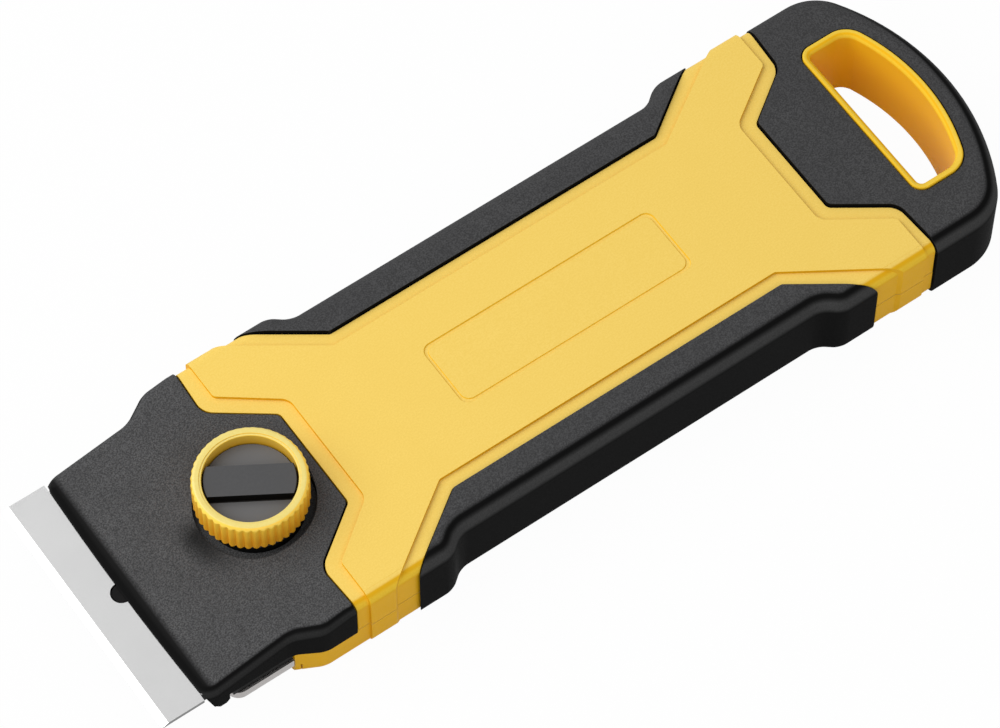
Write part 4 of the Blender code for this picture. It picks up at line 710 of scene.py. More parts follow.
TRAY_PLAN = both_sides(
    (TANG_REAR, TANG_REAR_HALF, TRAY_CORNER),
    (TANG_TAPER, TANG_HALF, TRAY_CORNER),
    (TRAY_REAR_SIDE, TANG_HALF),
    (TRAY_REAR_SIDE, TRAY_HALF),
    (TRAY_FRONT, TRAY_HALF, TRAY_CORNER),
)
tray_form = slab(TRAY_PLAN, TRAY_LOW.z, TRAY_HIGH.z)
lid = [face for face in tray_form.faces if face.normal.z > UPWARD]
bmesh.ops.delete(tray_form, geom=lid, context="FACES_ONLY")
round_rim(tray_form, TRAY_LOW.z, BEND, 4)
pressed_tray = make_object("pressed_tray", tray_form)
sheet = pressed_tray.modifiers.new("sheet", "SOLIDIFY")
sheet.thickness = SHEET
sheet.offset = -1.0
sheet.use_even_offset = True


def pair_of_rods(place, radius, bottom, top):
    station, half = place
    return [rod(at(station), y, radius, bottom, top, sides=32) for y in (half, -half)]


tray_under, tray_over = TRAY_LOW.z - OVERRUN, TRAY_HIGH.z + OVERRUN
cut(
    pressed_tray,
    rod(KNOB_X, 0.0, SCREW_RADIUS + 2 * GAP, tray_under, tray_over),
    *pair_of_rods(FRONT_JAW_SCREW, SCREW_HOLE, tray_under, tray_over),
    *pair_of_rods(REAR_JAW_SCREW, SCREW_HOLE, tray_under, tray_over),
)
dress(pressed_tray, "steel_tray")

# %% [markdown]
# ## The yellow shells
# The handle's core is two shells that meet on a level parting line. The upper one has a channel
# along the grips and a raised panel, whose broad ends run over the sides as bands. Channel and
# panel could be one mesh with the step drawn in, but they are two simple mouldings here, joined by
# a Boolean, so each keeps a clean soft edge. The edges of a rim are chosen by how far the wall's
# normal points across the tool, and those limits have names too.

# %% Plans that the shells share
BODY_HALF = 33.5 * MM
TAIL_SIDE = 192.2 * MM
TAIL_SIDE_OUT = 193.0 * MM
TAIL_KNEE_HALF = 21.1 * MM
TAIL_MIDDLE = 180.0 * MM
TAIL_MIDDLE_HALF = 12.6 * MM
GRIP_FRONT = 60.2 * MM
WAIST_FRONT = 76.7 * MM
WAIST_REAR = 160.4 * MM
GRIP_REAR = 177.2 * MM
WAIST_HALF = 22.4 * MM
WAIST_RADIUS = 1.2 * MM
SQUARE_TO_Y, FACING_Y, OUTWARD = 0.99, 0.5, 0.3


def slant_station(half, outer, waist):
    """Where the slanting seam between a grip's end and its waist reaches a half width."""
    return outer + (waist - outer) * (SHOULDER_HALF - half) / (SHOULDER_HALF - WAIST_HALF)


def shell_plan(*front):
    half = BODY_HALF + SEAM
    return both_sides(
        (TAIL_MIDDLE, TAIL_MIDDLE_HALF, TIP_RADIUS),
        (TAIL_SIDE, TAIL_KNEE_HALF, KNEE_RADIUS),
        (TAIL_SIDE_OUT, half),
        (slant_station(half, GRIP_REAR, WAIST_REAR), half),
        (WAIST_REAR, WAIST_HALF, WAIST_RADIUS),
        (WAIST_FRONT, WAIST_HALF, WAIST_RADIUS),
        (slant_station(half, GRIP_FRONT, WAIST_FRONT), half),
        *front,
    )


def plan_in_mm(*half):
    return both_sides(*(tuple(value * MM for value in corner) for corner in half))


PANEL_PLAN = plan_in_mm(
    (176.3, 14.4, 3.0),
    (190.0, 23.6, 1.2),
    (190.0, 34.1),
    (183.9, 34.1),
    (161.0, 19.3, 1.2),
    (75.5, 19.3, 1.2),
    (54.4, 34.1),
    (48.3, 34.1),
    (48.3, 23.5, 1.2),
    (60.8, 14.0, 3.0),
)
CORE_PLAN = plan_in_mm((171.2, 21.0), (166.4, 27.7), (70.7, 27.7), (66.2, 21.0))
HOLLOW_PLAN = plan_in_mm((173.0, 19.9, 3.0), (69.0, 19.9, 3.0))
print("panel", len(PANEL_PLAN), "corners, core", len(CORE_PLAN), "corners")


def along_side(wall, middle):
    """Chooses the edges that run along the outside of the body."""
    return abs(wall.y) > SQUARE_TO_Y and abs(middle.y) > BODY_HALF - GAP


# %% Screws and the tongue in the tail
SHELL_SCREWS = [(station * MM, 14.2 * MM) for station in (77.0, 121.5, 166.0)]
TAIL_SCREW = (187.4 * MM, 5.2 * MM)
HEAD_BORE = 3.2 * MM
HEAD_BORE_DEPTH = 2.3 * MM
SHELL_SCREW_TIP = 15.0 * MM
TAIL_SCREW_TIP = 13.6 * MM
BOSS_RADIUS = 4.2 * MM
TONGUE_HALF = 9.7 * MM
TONGUE_REAR = 194.0 * MM
TONGUE_LOW = 4.0 * MM
TONGUE_HIGH = 16.0 * MM


def screw_ways(place, tip):
    """Clearance holes and head bores of a pair of screws driven from below."""
    return [
        *pair_of_rods(place, SCREW_HOLE, -OVERRUN, tip + GAP),
        *pair_of_rods(place, HEAD_BORE, -OVERRUN, HEAD_BORE_DEPTH),
    ]


def shell_screw_ways():
    ways = screw_ways(TAIL_SCREW, TAIL_SCREW_TIP)
    for place in SHELL_SCREWS:
        ways += screw_ways(place, SHELL_SCREW_TIP)
    return ways


def bosses(bottom, top):
    pairs = [pair_of_rods(place, BOSS_RADIUS, bottom, top) for place in SHELL_SCREWS]
    return sum(pairs, [])


def tongue(bottom, top, gap=0.0):
    """The shells' tongue in the tail, or its slot there, which is larger by a gap."""
    half = TONGUE_HALF + gap
    low = (at(TAIL_MIDDLE) - OVERRUN, -half, bottom - gap)
    return block(low, (at(TONGUE_REAR) + gap, half, top + gap))


# %% Upper shell
CHANNEL_TOP = 19.2 * MM
SIDE_ROUND = 2.5 * MM
PANEL_SOFT = 1.0 * MM
CORE_TOP = 17.0 * MM
SHELL_WALL = 2.5 * MM
RIM_BREAK = 0.3 * MM

upper_low = SPLIT + SEAM
upper_plan = shell_plan(
    (NOSE_SIDE_OUT, BODY_HALF + SEAM),
    (NOSE_SIDE, NOSE_KNEE_HALF, KNEE_RADIUS),
    (NOSE_MIDDLE, NOSE_MIDDLE_HALF, TIP_RADIUS),
)
upper_form = slab(upper_plan, upper_low, CHANNEL_TOP, SEAM)
round_rim(upper_form, CHANNEL_TOP, SIDE_ROUND, 8, along_side)
break_edges(upper_form, RIM_BREAK, above=upper_low + SAME_PLACE)
upper_shell = make_object("upper_shell", upper_form)

panel_form = slab(PANEL_PLAN, upper_low, BODY_TOP)
round_rim(panel_form, BODY_TOP, SIDE_ROUND, 8, along_side)
round_rim(panel_form, BODY_TOP, PANEL_SOFT, 4)
core_form = slab(CORE_PLAN, upper_low, CORE_TOP)
join(upper_shell, panel_form, core_form, tongue(upper_low, TONGUE_HIGH))
print("upper shell", len(upper_shell.data.polygons), "faces before its hollows")

# %% [markdown]
# The panel carries a label field, which stays bare here. A sunk line borders it: a field is cut
# with a rounded foot, and a smaller one is joined in again, a little lower than the panel. Inside,
# the shell is hollow, with a boss for each screw.

# %% Label field, hollow and screw ways
LABEL_FRONT = 90.0 * MM
LABEL_REAR = 148.0 * MM
LABEL_HALF = 8.0 * MM
LABEL_RADIUS = 2.2 * MM
LABEL_DEPTH = 0.3 * MM
LABEL_FOOT = 0.28 * MM
LABEL_RIM = 0.2 * MM
LABEL_LINE = 0.35 * MM
LABEL_DROP = 0.08 * MM

label_floor = BODY_TOP - LABEL_DEPTH
label_plan = both_sides(
    (LABEL_REAR, LABEL_HALF, LABEL_RADIUS), (LABEL_FRONT, LABEL_HALF, LABEL_RADIUS)
)
label_form = slab(label_plan, label_floor, BODY_TOP + OVERRUN, -LABEL_LINE)
round_rim(label_form, label_floor, LABEL_FOOT, 3)
label_top = BODY_TOP - LABEL_DROP
label_field = slab(label_plan, label_floor - LABEL_DEPTH, label_top, LABEL_LINE)
round_rim(label_field, label_top, LABEL_RIM, 3)
ceiling = BODY_TOP - SHELL_WALL
cut(upper_shell, slab(HOLLOW_PLAN, upper_low - OVERRUN, ceiling))
join(upper_shell, *bosses(upper_low, ceiling + SHELL_WALL / 2))
cut(upper_shell, label_form, *shell_screw_ways())
join(upper_shell, label_field)
dress(upper_shell, "top_shell")

# %% [markdown]
# ## The lower shell
# The lower shell has the same plan behind its own front, which reaches forward under the cover's
# shoulder and ends in a small hook beside the tray, with a fine slit behind it. Its bands start a
# little above the bench, so that the tool rests on its flat floor.

# %% Lower shell
LOWER_FRONT = 31.6 * MM
BAND_LOW = 0.6 * MM
CORE_BOTTOM = 3.0 * MM
SHELL_FLOOR = 2.4 * MM
SCREW_TIP_RECESS = 2.0 * MM
HOOK_LENGTH = 1.0 * MM
HOOK_SLIT = 0.35 * MM
HOOK_HEIGHT = 4.2 * MM

lower_high = SPLIT - SEAM
lower_plan = shell_plan(
    (SHOULDER_END, BODY_HALF + SEAM, SHOULDER_RADIUS), (LOWER_FRONT - SEAM, COVER_HALF + SEAM)
)
lower_form = slab(lower_plan, 0.0, lower_high, SEAM)


def under_shoulder(wall, middle):
    """Chooses the outside and the slant that runs in from the shoulder to the shell's front."""
    slants = middle.x < at(SHOULDER_END) + SHOULDER_RADIUS and abs(wall.y) > FACING_Y
    return along_side(wall, middle) or (slants and abs(middle.y) > COVER_HALF - GAP)


round_rim(lower_form, 0.0, SIDE_ROUND, 8, under_shoulder)
lower_shell = make_object("lower_shell", lower_form)
band_form = slab(PANEL_PLAN, BAND_LOW, lower_high)
round_rim(band_form, BAND_LOW, SIDE_ROUND, 8, along_side)
lower_core = slab(CORE_PLAN, CORE_BOTTOM, lower_high)
join(lower_shell, band_form, lower_core, tongue(TONGUE_LOW, lower_high))
tray_pocket = slab(TRAY_PLAN, TRAY_LOW.z - GAP, lower_high + OVERRUN, -GAP)
tip_recess = rod(KNOB_X, 0.0, SCREW_RADIUS + 2 * GAP, SCREW_TIP_RECESS, lower_high)
cut(lower_shell, slab(HOLLOW_PLAN, SHELL_FLOOR, lower_high + OVERRUN), tray_pocket, tip_recess)
join(lower_shell, *bosses(SHELL_FLOOR / 2, lower_high))
slit_front, slit_inner = at(LOWER_FRONT) + HOOK_LENGTH, COVER_HALF - SKIRT / 2
slits = [
    block((slit_front, y, -OVERRUN), (slit_front + HOOK_SLIT, y + 2 * OVERRUN, HOOK_HEIGHT))
    for y in (slit_inner, -slit_inner - 2 * OVERRUN)
]
cut(lower_shell, *slits, *shell_screw_ways(), *screw_ways(REAR_JAW_SCREW, BLADE_BOTTOM))
dress(lower_shell, "bottom_shell")

# %% [markdown]
# ## The grips
# Each side grip is a black moulding that wraps the shells' flange. Its outside dips in at the
# waist, with a soft shoulder at each end, and its upper edge is a broad round that fills the palm.
# The round is a bevel of the outer rim alone, so the inner rim stays a crisp seam.

# %% Side grips
SHOULDER_OUT = 34.2 * MM
WAIST_OUT = 31.0 * MM
FRONT_BLEND = 68.6 * MM
REAR_BLEND = 168.4 * MM
BLEND_LENGTH = 4.0 * MM
BLEND_RADIUS = 5.0 * MM
GRIP_ROUND = 4.5 * MM
GRIP_FOOT = 2.5 * MM


def grip_plan(side):
    edge = SHOULDER_OUT + SEAM
    dip = WAIST_OUT + SEAM
    corners = [
        (slant_station(edge, GRIP_FRONT, WAIST_FRONT), edge),
        (WAIST_FRONT, WAIST_HALF, WAIST_RADIUS),
        (WAIST_REAR, WAIST_HALF, WAIST_RADIUS),
        (slant_station(edge, GRIP_REAR, WAIST_REAR), edge),
        (REAR_BLEND, edge, BLEND_RADIUS),
        (REAR_BLEND - BLEND_LENGTH, dip, BLEND_RADIUS),
        (FRONT_BLEND + BLEND_LENGTH, dip, BLEND_RADIUS),
        (FRONT_BLEND, edge, BLEND_RADIUS),
    ]
    if side > 0:
        return corners
    return [(station, -y, *radius) for station, y, *radius in reversed(corners)]


def make_grip(name, node):
    side = math.copysign(1.0, sum(corner.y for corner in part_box(node)))

    def outward(wall, middle):
        return wall.y * side > OUTWARD

    form = slab(grip_plan(side), 0.0, GRIP_TOP, SEAM)
    round_rim(form, GRIP_TOP, GRIP_ROUND, 10, outward)
    round_rim(form, 0.0, GRIP_FOOT, 6, outward)
    break_edges(form, RIM_BREAK)
    grip = make_object(name, form)
    cut(grip, slab(CORE_PLAN, CORE_BOTTOM - GAP, CORE_TOP + GAP, -GAP))
    dress(grip, node)


make_grip("left_side_grip", "left_grip")
make_grip("right_side_grip", "right_grip")

# %% [markdown]
# ## The tail and its hanging hole
# The tail ends in one broad arc between two tighter ones. An arc is a vertex that is spun about its
# centre, so the plan is a chain of spins and single extruded points, closed by one face. The hole
# is the same shape, smaller.

# %% Broad-ended plans
def rounded_end(end, half, end_radius, corner_radius, front):
    """A plan: a broad arc between two corner arcs at the rear, then plain corners (station, y)."""
    middle = end - end_radius
    offset = half - corner_radius
    corner = middle + math.sqrt((end_radius - corner_radius) ** 2 - offset**2)
    turn = math.atan2(offset, corner - middle)
    bm = bmesh.new()
    last = bm.verts.new((at(corner), -half, 0.0))
    rest = math.pi / 2 - turn
    arcs = ((corner, -offset, rest), (middle, 0.0, 2 * turn), (corner, offset, rest))
    for station, y, angle in arcs:
        swept = bmesh.ops.spin(
            bm,
            geom=[last],
            cent=(at(station), y, 0.0),
            axis=(0.0, 0.0, 1.0),
            angle=angle,
            steps=math.ceil(angle / (ARC_STEP / 2)),
        )
        last = swept["geom_last"][0]
    for station, y in front:
        bm.verts.new((at(station), y, 0.0))
    bm.verts.ensure_lookup_table()
    bm.faces.new(bm.verts[:])
    loose = [edge for edge in bm.edges if not edge.link_faces]
    bmesh.ops.delete(bm, geom=loose, context="EDGES")
    bm.normal_update()
    return bm


# %% Tail
TAIL_END = 221.6 * MM
TAIL_ARC = 54.0 * MM
TAIL_CORNER = 12.0 * MM
TAIL_EDGE = 4.4 * MM
TAIL_FOOT = 1.6 * MM
TAIL_SEAM_BREAK = 0.6 * MM

seam_corners = both_sides(
    (TAIL_SIDE_OUT, SHOULDER_HALF + SEAM),
    (TAIL_SIDE, TAIL_KNEE_HALF),
    (TAIL_MIDDLE, TAIL_MIDDLE_HALF),
)
tail_form = rounded_end(
    TAIL_END + SEAM, SHOULDER_HALF + SEAM, TAIL_ARC + SEAM, TAIL_CORNER + SEAM, seam_corners
)
draw_in(tail_form, SEAM)
for y_side in (1, -1):
    round_at(tail_form, (at(TAIL_SIDE), y_side * TAIL_KNEE_HALF, 0.0), KNEE_RADIUS)
    round_at(tail_form, (at(TAIL_MIDDLE), y_side * TAIL_MIDDLE_HALF, 0.0), TIP_RADIUS)
raise_plan(tail_form, GRIP_TOP)


def behind_seam(wall, middle):
    return middle.x > at(TAIL_SIDE_OUT) + GAP


round_rim(tail_form, GRIP_TOP, TAIL_EDGE, 8, behind_seam)
round_rim(tail_form, 0.0, TAIL_FOOT, 8, behind_seam)
break_edges(tail_form, TAIL_SEAM_BREAK, above=GRIP_TOP - SAME_PLACE)
break_edges(tail_form, RIM_BREAK)
tail_moulding = make_object("tail_moulding", tail_form)
print("tail", len(tail_moulding.data.polygons), "faces before its hole")

# %% Hole through the tail
LINER_REAR = 215.3 * MM
LINER_FRONT = 197.3 * MM
LINER_HALF = 21.5 * MM
LINER_ARC = 47.0 * MM
LINER_CORNER = 6.0 * MM
LINER_FRONT_CORNER = 3.0 * MM
LINER_SHOULDER = 0.9 * MM
SHOULDER_LEVEL = 6.0 * MM


def hole_plan(out, level):
    """The D of the hanging hole, made larger by a margin and lifted to a level."""
    half = LINER_HALF + out
    front = [(LINER_FRONT - out, half), (LINER_FRONT - out, -half)]
    bm = rounded_end(LINER_REAR + out, half, LINER_ARC + out, LINER_CORNER + out, front)
    for station, y in front:
        round_at(bm, (at(station), y, 0.0), LINER_FRONT_CORNER + out)
    bmesh.ops.translate(bm, vec=(0.0, 0.0, level), verts=bm.verts)
    return bm


cut(
    tail_moulding,
    raise_plan(hole_plan(GAP, -OVERRUN), GRIP_TOP + 2 * OVERRUN),
    raise_plan(hole_plan(LINER_SHOULDER + GAP, -OVERRUN), SHOULDER_LEVEL + GAP + OVERRUN),
    tongue(TONGUE_LOW, TONGUE_HIGH, GAP),
    *screw_ways(TAIL_SCREW, TONGUE_LOW),
)
dress(tail_moulding, "tail_cap")

# %% [markdown]
# The liner is a thin yellow ring in the hole. It is the same plan, inset by its wall, with the
# middle taken out and the ring raised. Both upper rims are rounded, so the lip catches the light as
# one soft line.

# %% Hole liner
LINER_WALL = 1.7 * MM
LINER_LIP = 1.35 * MM
LINER_RIM = 0.3 * MM


def liner_ring(out, wall, bottom, top):
    bm = hole_plan(out, bottom)
    rim = inset(bm, wall)
    middle = [face for face in bm.faces if face not in rim]
    bmesh.ops.delete(bm, geom=middle, context="FACES_ONLY")
    return raise_plan(bm, top - bottom)


def on_outer_wall(edge):
    """Whether the wall under a rim edge faces away from the middle of the hole."""
    middle = middle_of(edge)
    centre = Vector((at((LINER_FRONT + LINER_REAR) / 2), 0.0, middle.z))
    return wall_of(edge).dot(middle - centre) > 0.0


liner_form = liner_ring(0.0, LINER_WALL, 0.0, LINER_TOP)
rim = rim_edges(liner_form, LINER_TOP)
tops = [edge for edge in rim if edge.calc_face_angle(0.0) > HARD_ANGLE]
inner = [edge for edge in tops if not on_outer_wall(edge)]
outer = [edge for edge in tops if on_outer_wall(edge)]
round_edges(liner_form, outer, LINER_RIM, 3)
round_edges(liner_form, [edge for edge in inner if edge.is_valid], LINER_LIP, 7)
liner_moulding = make_object("liner_moulding", liner_form)
collar_ring = liner_ring(LINER_SHOULDER, LINER_SHOULDER + LINER_WALL / 2, 0.0, SHOULDER_LEVEL)
join(liner_moulding, collar_ring)
dress(liner_moulding, "hole_liner")

# %% [markdown]
# ## The screws underneath
# Twelve pan-head screws close the tool from below. Each is turned and has a plain cross recess, cut
# by two crossed blades. They are all alike apart from their length, so one function makes them at
# each place.

# %% Pan-head screws
PAN_RADIUS = 2.9 * MM
PAN_HEIGHT = 1.7 * MM
PAN_ROUND = 0.7 * MM
SHANK_RADIUS = 1.5 * MM
POINT_LENGTH = 2.0 * MM
CROSS_HALF = 1.5 * MM
CROSS_BLADE = 0.33 * MM
CROSS_DEPTH = 1.0 * MM


def pan_screw(node):
    low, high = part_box(node)
    x, y = (low.x + high.x) / 2, (low.y + high.y) / 2
    collar = low.z + PAN_HEIGHT
    profile = [
        (0.0, low.z),
        (PAN_RADIUS, low.z, PAN_ROUND),
        (PAN_RADIUS, collar),
        (SHANK_RADIUS, collar),
        (SHANK_RADIUS, high.z - POINT_LENGTH),
        (0.0, high.z),
    ]
    screw = make_object(node.replace("screw", "pan_screw"), turned(profile, x, y, steps=32))
    under, over = low.z - OVERRUN, low.z + CROSS_DEPTH
    arms = ((CROSS_HALF, CROSS_BLADE), (CROSS_BLADE, CROSS_HALF))
    cut(screw, *(block((x - a, y - b, under), (x + a, y + b, over)) for a, b in arms))
    dress(screw, node, sharp=40.0)


for node in sorted(name for name in frame["nodes"] if "_screw_" in name):
    pan_screw(node)

# %% [markdown]
# ## Finishes
# The mouldings share one surface: a fine dense grain that a spark-eroded mould leaves on the flats,
# and smoother rounds and walls. The grain could be bump alone, but at this distance it shows more
# as tiny lighter and darker points, so it is in the colour too. It is one shader node group, and
# each plastic sets its own scale. Flats, rounds and walls are told apart by the object's own
# normal, which stays the same from every side. The flats then get a lighter colour, which is
# painted light, the walls a darker one, which is painted shade, and a band on the rounds is a
# painted highlight. The rounds of the far side keep the flats' lighter colour a little longer,
# which is painted light from that side.

# %% Node helpers
def feed(tree, node, inputs):
    """Links another node's output into an input, or gives the input a value."""
    for name, value in inputs.items():
        if isinstance(value, bpy.types.NodeSocket):
            tree.links.new(value, node.inputs[name])
        else:
            node.inputs[name].default_value = value


def add(tree, kind, inputs=None, **settings):
    node = tree.nodes.new(kind)
    for name, value in settings.items():
        setattr(node, name, value)
    feed(tree, node, inputs or {})
    return node


def maths(tree, operation, *terms):
    return add(tree, "ShaderNodeMath", dict(enumerate(terms)), operation=operation).outputs["Value"]


def ranged(tree, source, low, high, start=0.3, end=0.7, shape="LINEAR"):
    """A value spread from low to high."""
    spread = {"Value": source, "From Min": start, "From Max": end, "To Min": low, "To Max": high}
    return add(tree, "ShaderNodeMapRange", spread, interpolation_type=shape).outputs["Result"]


def noise(tree, vector, scale, detail, roughness=0.5):
    inputs = {"Vector": vector, "Scale": scale, "Detail": detail, "Roughness": roughness}
    return add(tree, "ShaderNodeTexNoise", inputs).outputs["Fac"]


def split(tree, kind):
    """The three parts of the object's own place or normal."""
    vector = add(tree, "ShaderNodeTexCoord").outputs[kind]
    return add(tree, "ShaderNodeSeparateXYZ", {"Vector": vector}).outputs


def new_group(name, setting, kind, value):
    """A group with one setting, and the socket that brings it in."""
    tree = bpy.data.node_groups.new(name, "ShaderNodeTree")
    tree.interface.new_socket(name=setting, in_out="INPUT", socket_type=kind).default_value = value
    return tree, tree.nodes.new("NodeGroupInput").outputs[setting]


def put_out(tree, sources):
    """Ends a group with a value for each of its outputs."""
    for label in sources:
        tree.interface.new_socket(name=label, in_out="OUTPUT", socket_type="NodeSocketFloat")
    feed(tree, tree.nodes.new("NodeGroupOutput"), sources)
    print("group", tree.name, len(tree.nodes), "nodes")


# %% Group: the surface of a moulding, with painted light and shade
# The Flat mask gives the flats a lighter colour than the walls, which is painted light and painted
# shade, and it is lifted on rounds that face +Y, which is painted light from the far side. A mask
# marks a band on the rounds, which is a painted highlight.
FLAT_FROM, FLAT_TO = 0.89, 0.978
FAR_SIDE_LIGHT = 0.45
BAND_LOW_FROM, BAND_LOW_TO = 0.05, 0.4
BAND_HIGH_FROM, BAND_HIGH_TO = 0.6, 0.84
GRAIN_DETAIL, GRAIN_ROUGHNESS = 2.0, 0.65
POINT_FROM, POINT_TO = 0.36, 0.66
MOTTLE_SCALE, MOTTLE_DETAIL, MOTTLE_ROUGHNESS = 130.0, 3.0, 0.6
BAND_PALE = 0.65

moulding, grain_scale = new_group("moulded_grain_and_light", "Grain Scale", "NodeSocketFloat", 2400.0)
surface_place = add(moulding, "ShaderNodeTexCoord").outputs["Object"]
grain = noise(moulding, surface_place, grain_scale, GRAIN_DETAIL, GRAIN_ROUGHNESS)
mottle = noise(moulding, surface_place, MOTTLE_SCALE, MOTTLE_DETAIL, MOTTLE_ROUGHNESS)
facing = split(moulding, "Normal")
far_side_light = maths(moulding, "MAXIMUM", facing["Y"], 0.0)
lifted = maths(moulding, "MULTIPLY_ADD", far_side_light, FAR_SIDE_LIGHT, facing["Z"])
above_wall = ranged(moulding, facing["Z"], 0.0, 1.0, BAND_LOW_FROM, BAND_LOW_TO, "SMOOTHSTEP")
below_round = ranged(moulding, facing["Z"], 1.0, 0.0, BAND_HIGH_FROM, BAND_HIGH_TO, "SMOOTHSTEP")
band = maths(moulding, "MULTIPLY", above_wall, below_round)
surface = {
    "Grain": grain,
    "Points": ranged(moulding, grain, 0.0, 1.0, POINT_FROM, POINT_TO, "SMOOTHSTEP"),
    "Mottle": mottle,
    "Flat": ranged(moulding, lifted, 0.0, 1.0, FLAT_FROM, FLAT_TO, "SMOOTHSTEP"),
    "Highlight Band": maths(moulding, "MULTIPLY", band, ranged(moulding, grain, BAND_PALE, 1.0)),
}
put_out(moulding, surface)

# %% [markdown]
# Steel needs another group. Grinding and rolling leave fine lines in one direction, so a noise is
# stretched along the lines with a Mapping node. It shows in the roughness and a little in the
# colour.

# %% Group: drawn lines in steel
LINE_DETAIL = 4.0
CLOUD_SCALE, CLOUD_DETAIL = 90.0, 3.0

lines, stretch = new_group("steel_lines", "Stretch", "NodeSocketVector", (1.0, 1.0, 1.0))
steel_place = add(lines, "ShaderNodeTexCoord").outputs["Object"]
drawn = add(lines, "ShaderNodeMapping", {"Vector": steel_place, "Scale": stretch})
line_noise = noise(lines, drawn.outputs["Vector"], 1.0, LINE_DETAIL)
cloud = noise(lines, steel_place, CLOUD_SCALE, CLOUD_DETAIL)
put_out(lines, {"Lines": line_noise, "Cloud": cloud})


# %% Building a material
GRAIN_DEPTH = 0.05 * MM


def new_material(name):
    """A material under its name, as its node tree and its shader."""
    MATERIALS[name] = bpy.data.materials.new(name)
    MATERIALS[name].use_nodes = True
    tree = MATERIALS[name].node_tree
    return tree, tree.nodes["Principled BSDF"]


def mix_colour(tree, factor, first, second):
    """Mixes two colours, each a socket or a plain colour, by a mask."""
    node = add(tree, "ShaderNodeMix", {"Factor": factor}, data_type="RGBA")
    colours = [(*value, 1.0) if isinstance(value, tuple) else value for value in (first, second)]
    slots = [index for index, socket in enumerate(node.inputs) if socket.type == "RGBA"]
    feed(tree, node, dict(zip(slots, colours)))
    return next(socket for socket in node.outputs if socket.type == "RGBA")


def part_below(tree, colour, part_colour, axis, start, end):
    """Gives what lies before the start another colour, which has gone by the end."""
    below = ranged(tree, split(tree, "Object")[axis], 1.0, 0.0, start, end)
    return mix_colour(tree, below, colour, part_colour)


def moulded_plastic(
    name, flat, deep, band, wall, grain, roughness, bump, specular, mottle=0.3, part=None, foot=None
):
    """A plastic with a lighter colour for its flats, which is painted light, a lighter band on its
    rounds, which is a painted highlight, and a darker colour for its walls, which is painted shade.

    A part of the flats, and the foot of the walls, can have a colour (colour, axis, start, end).
    """
    tree, shader = new_material(name)
    surface = add(tree, "ShaderNodeGroup", {"Grain Scale": grain}, node_tree=moulding).outputs
    grained = mix_colour(tree, surface["Points"], deep, flat)
    flats = mix_colour(tree, ranged(tree, surface["Mottle"], 0.0, mottle), grained, deep)
    if part:
        flats = part_below(tree, flats, *part)
    # Walls take the darker colour, painted shade, and the band on the rounds a lighter one, a
    # painted highlight; the flats' lighter colour below is painted light.
    sides = mix_colour(tree, surface["Highlight Band"], wall, band)
    if foot:
        sides = part_below(tree, sides, *foot)
    colour = mix_colour(tree, surface["Flat"], sides, flats)
    rough = ranged(tree, surface["Grain"], *roughness)
    relief = {"Strength": bump, "Distance": GRAIN_DEPTH, "Height": surface["Grain"]}
    normal = add(tree, "ShaderNodeBump", relief).outputs["Normal"]
    feed(tree, shader, {"Base Color": colour, "Roughness": rough, "Normal": normal})
    shader.inputs["Specular IOR Level"].default_value = specular


# %% [markdown]
# ## The plastics
# The yellow is a warm tool yellow, and its deeper walls are painted shade. The knob's ring is the
# same plastic with a smoother skin; its paler flats are a painted sheen and its bright walls
# painted light. The blacks are dark greys on their flats and nearly black on their rounds: the grey
# is painted light, the black painted shade, and the lighter band on their rounds a painted
# highlight.
# Three places get another tone: the foot of the ring's wall is darker and more orange, painted
# shade; the lip of the cover is darker, painted shade; and the floors of the insert's pockets are
# lighter grey. All are set against the photograph.

# %% Yellow plastics
# The ring's walls grow darker and more orange towards their foot, in the ring and in its flutes:
# painted shade.
RING_SHADE_DEEP, RING_SHADE_END = RING_TOP - 5.5 * MM, RING_TOP - 0.6 * MM

moulded_plastic(
    "yellow_moulding",
    flat=(0.93, 0.66, 0.155),
    deep=(0.88, 0.61, 0.125),
    band=(0.90, 0.59, 0.045),
    wall=(0.80, 0.435, 0.010),
    grain=2600.0, roughness=(0.42, 0.55), bump=0.2, specular=0.07,
)
# The ring's paler flats are a painted sheen, and its bright walls are painted light.
moulded_plastic(
    "ring_yellow",
    flat=(0.84, 0.69, 0.21),
    deep=(0.82, 0.66, 0.18),
    band=(0.98, 0.66, 0.08),
    wall=(1.0, 0.62, 0.05),
    foot=((0.88, 0.42, 0.02), "Z", RING_SHADE_DEEP, RING_SHADE_END),
    grain=1500.0, roughness=(0.3, 0.38), bump=0.05, specular=0.5,
)
moulded_plastic(
    "liner_yellow",
    flat=(0.90, 0.62, 0.07),
    deep=(0.87, 0.58, 0.06),
    band=(0.95, 0.64, 0.05),
    wall=(0.92, 0.50, 0.012),
    grain=2300.0, roughness=(0.35, 0.45), bump=0.1, specular=0.03,
)
print("yellow plastics", sorted(MATERIALS))

# %% Black plastics
# The flats of the cover's lip are darker near its front edge: painted shade.
LIP_SHADE_DARK, LIP_SHADE_END = at(COVER_FRONT) + 1.5 * MM, at(COVER_FRONT) + 2.9 * MM
POCKET_PALE, POCKET_DARK = insert_top - 0.6 * POCKET_DEPTH, insert_top - 0.4 * POCKET_DEPTH


def grey(value):
    return (value, value, value)


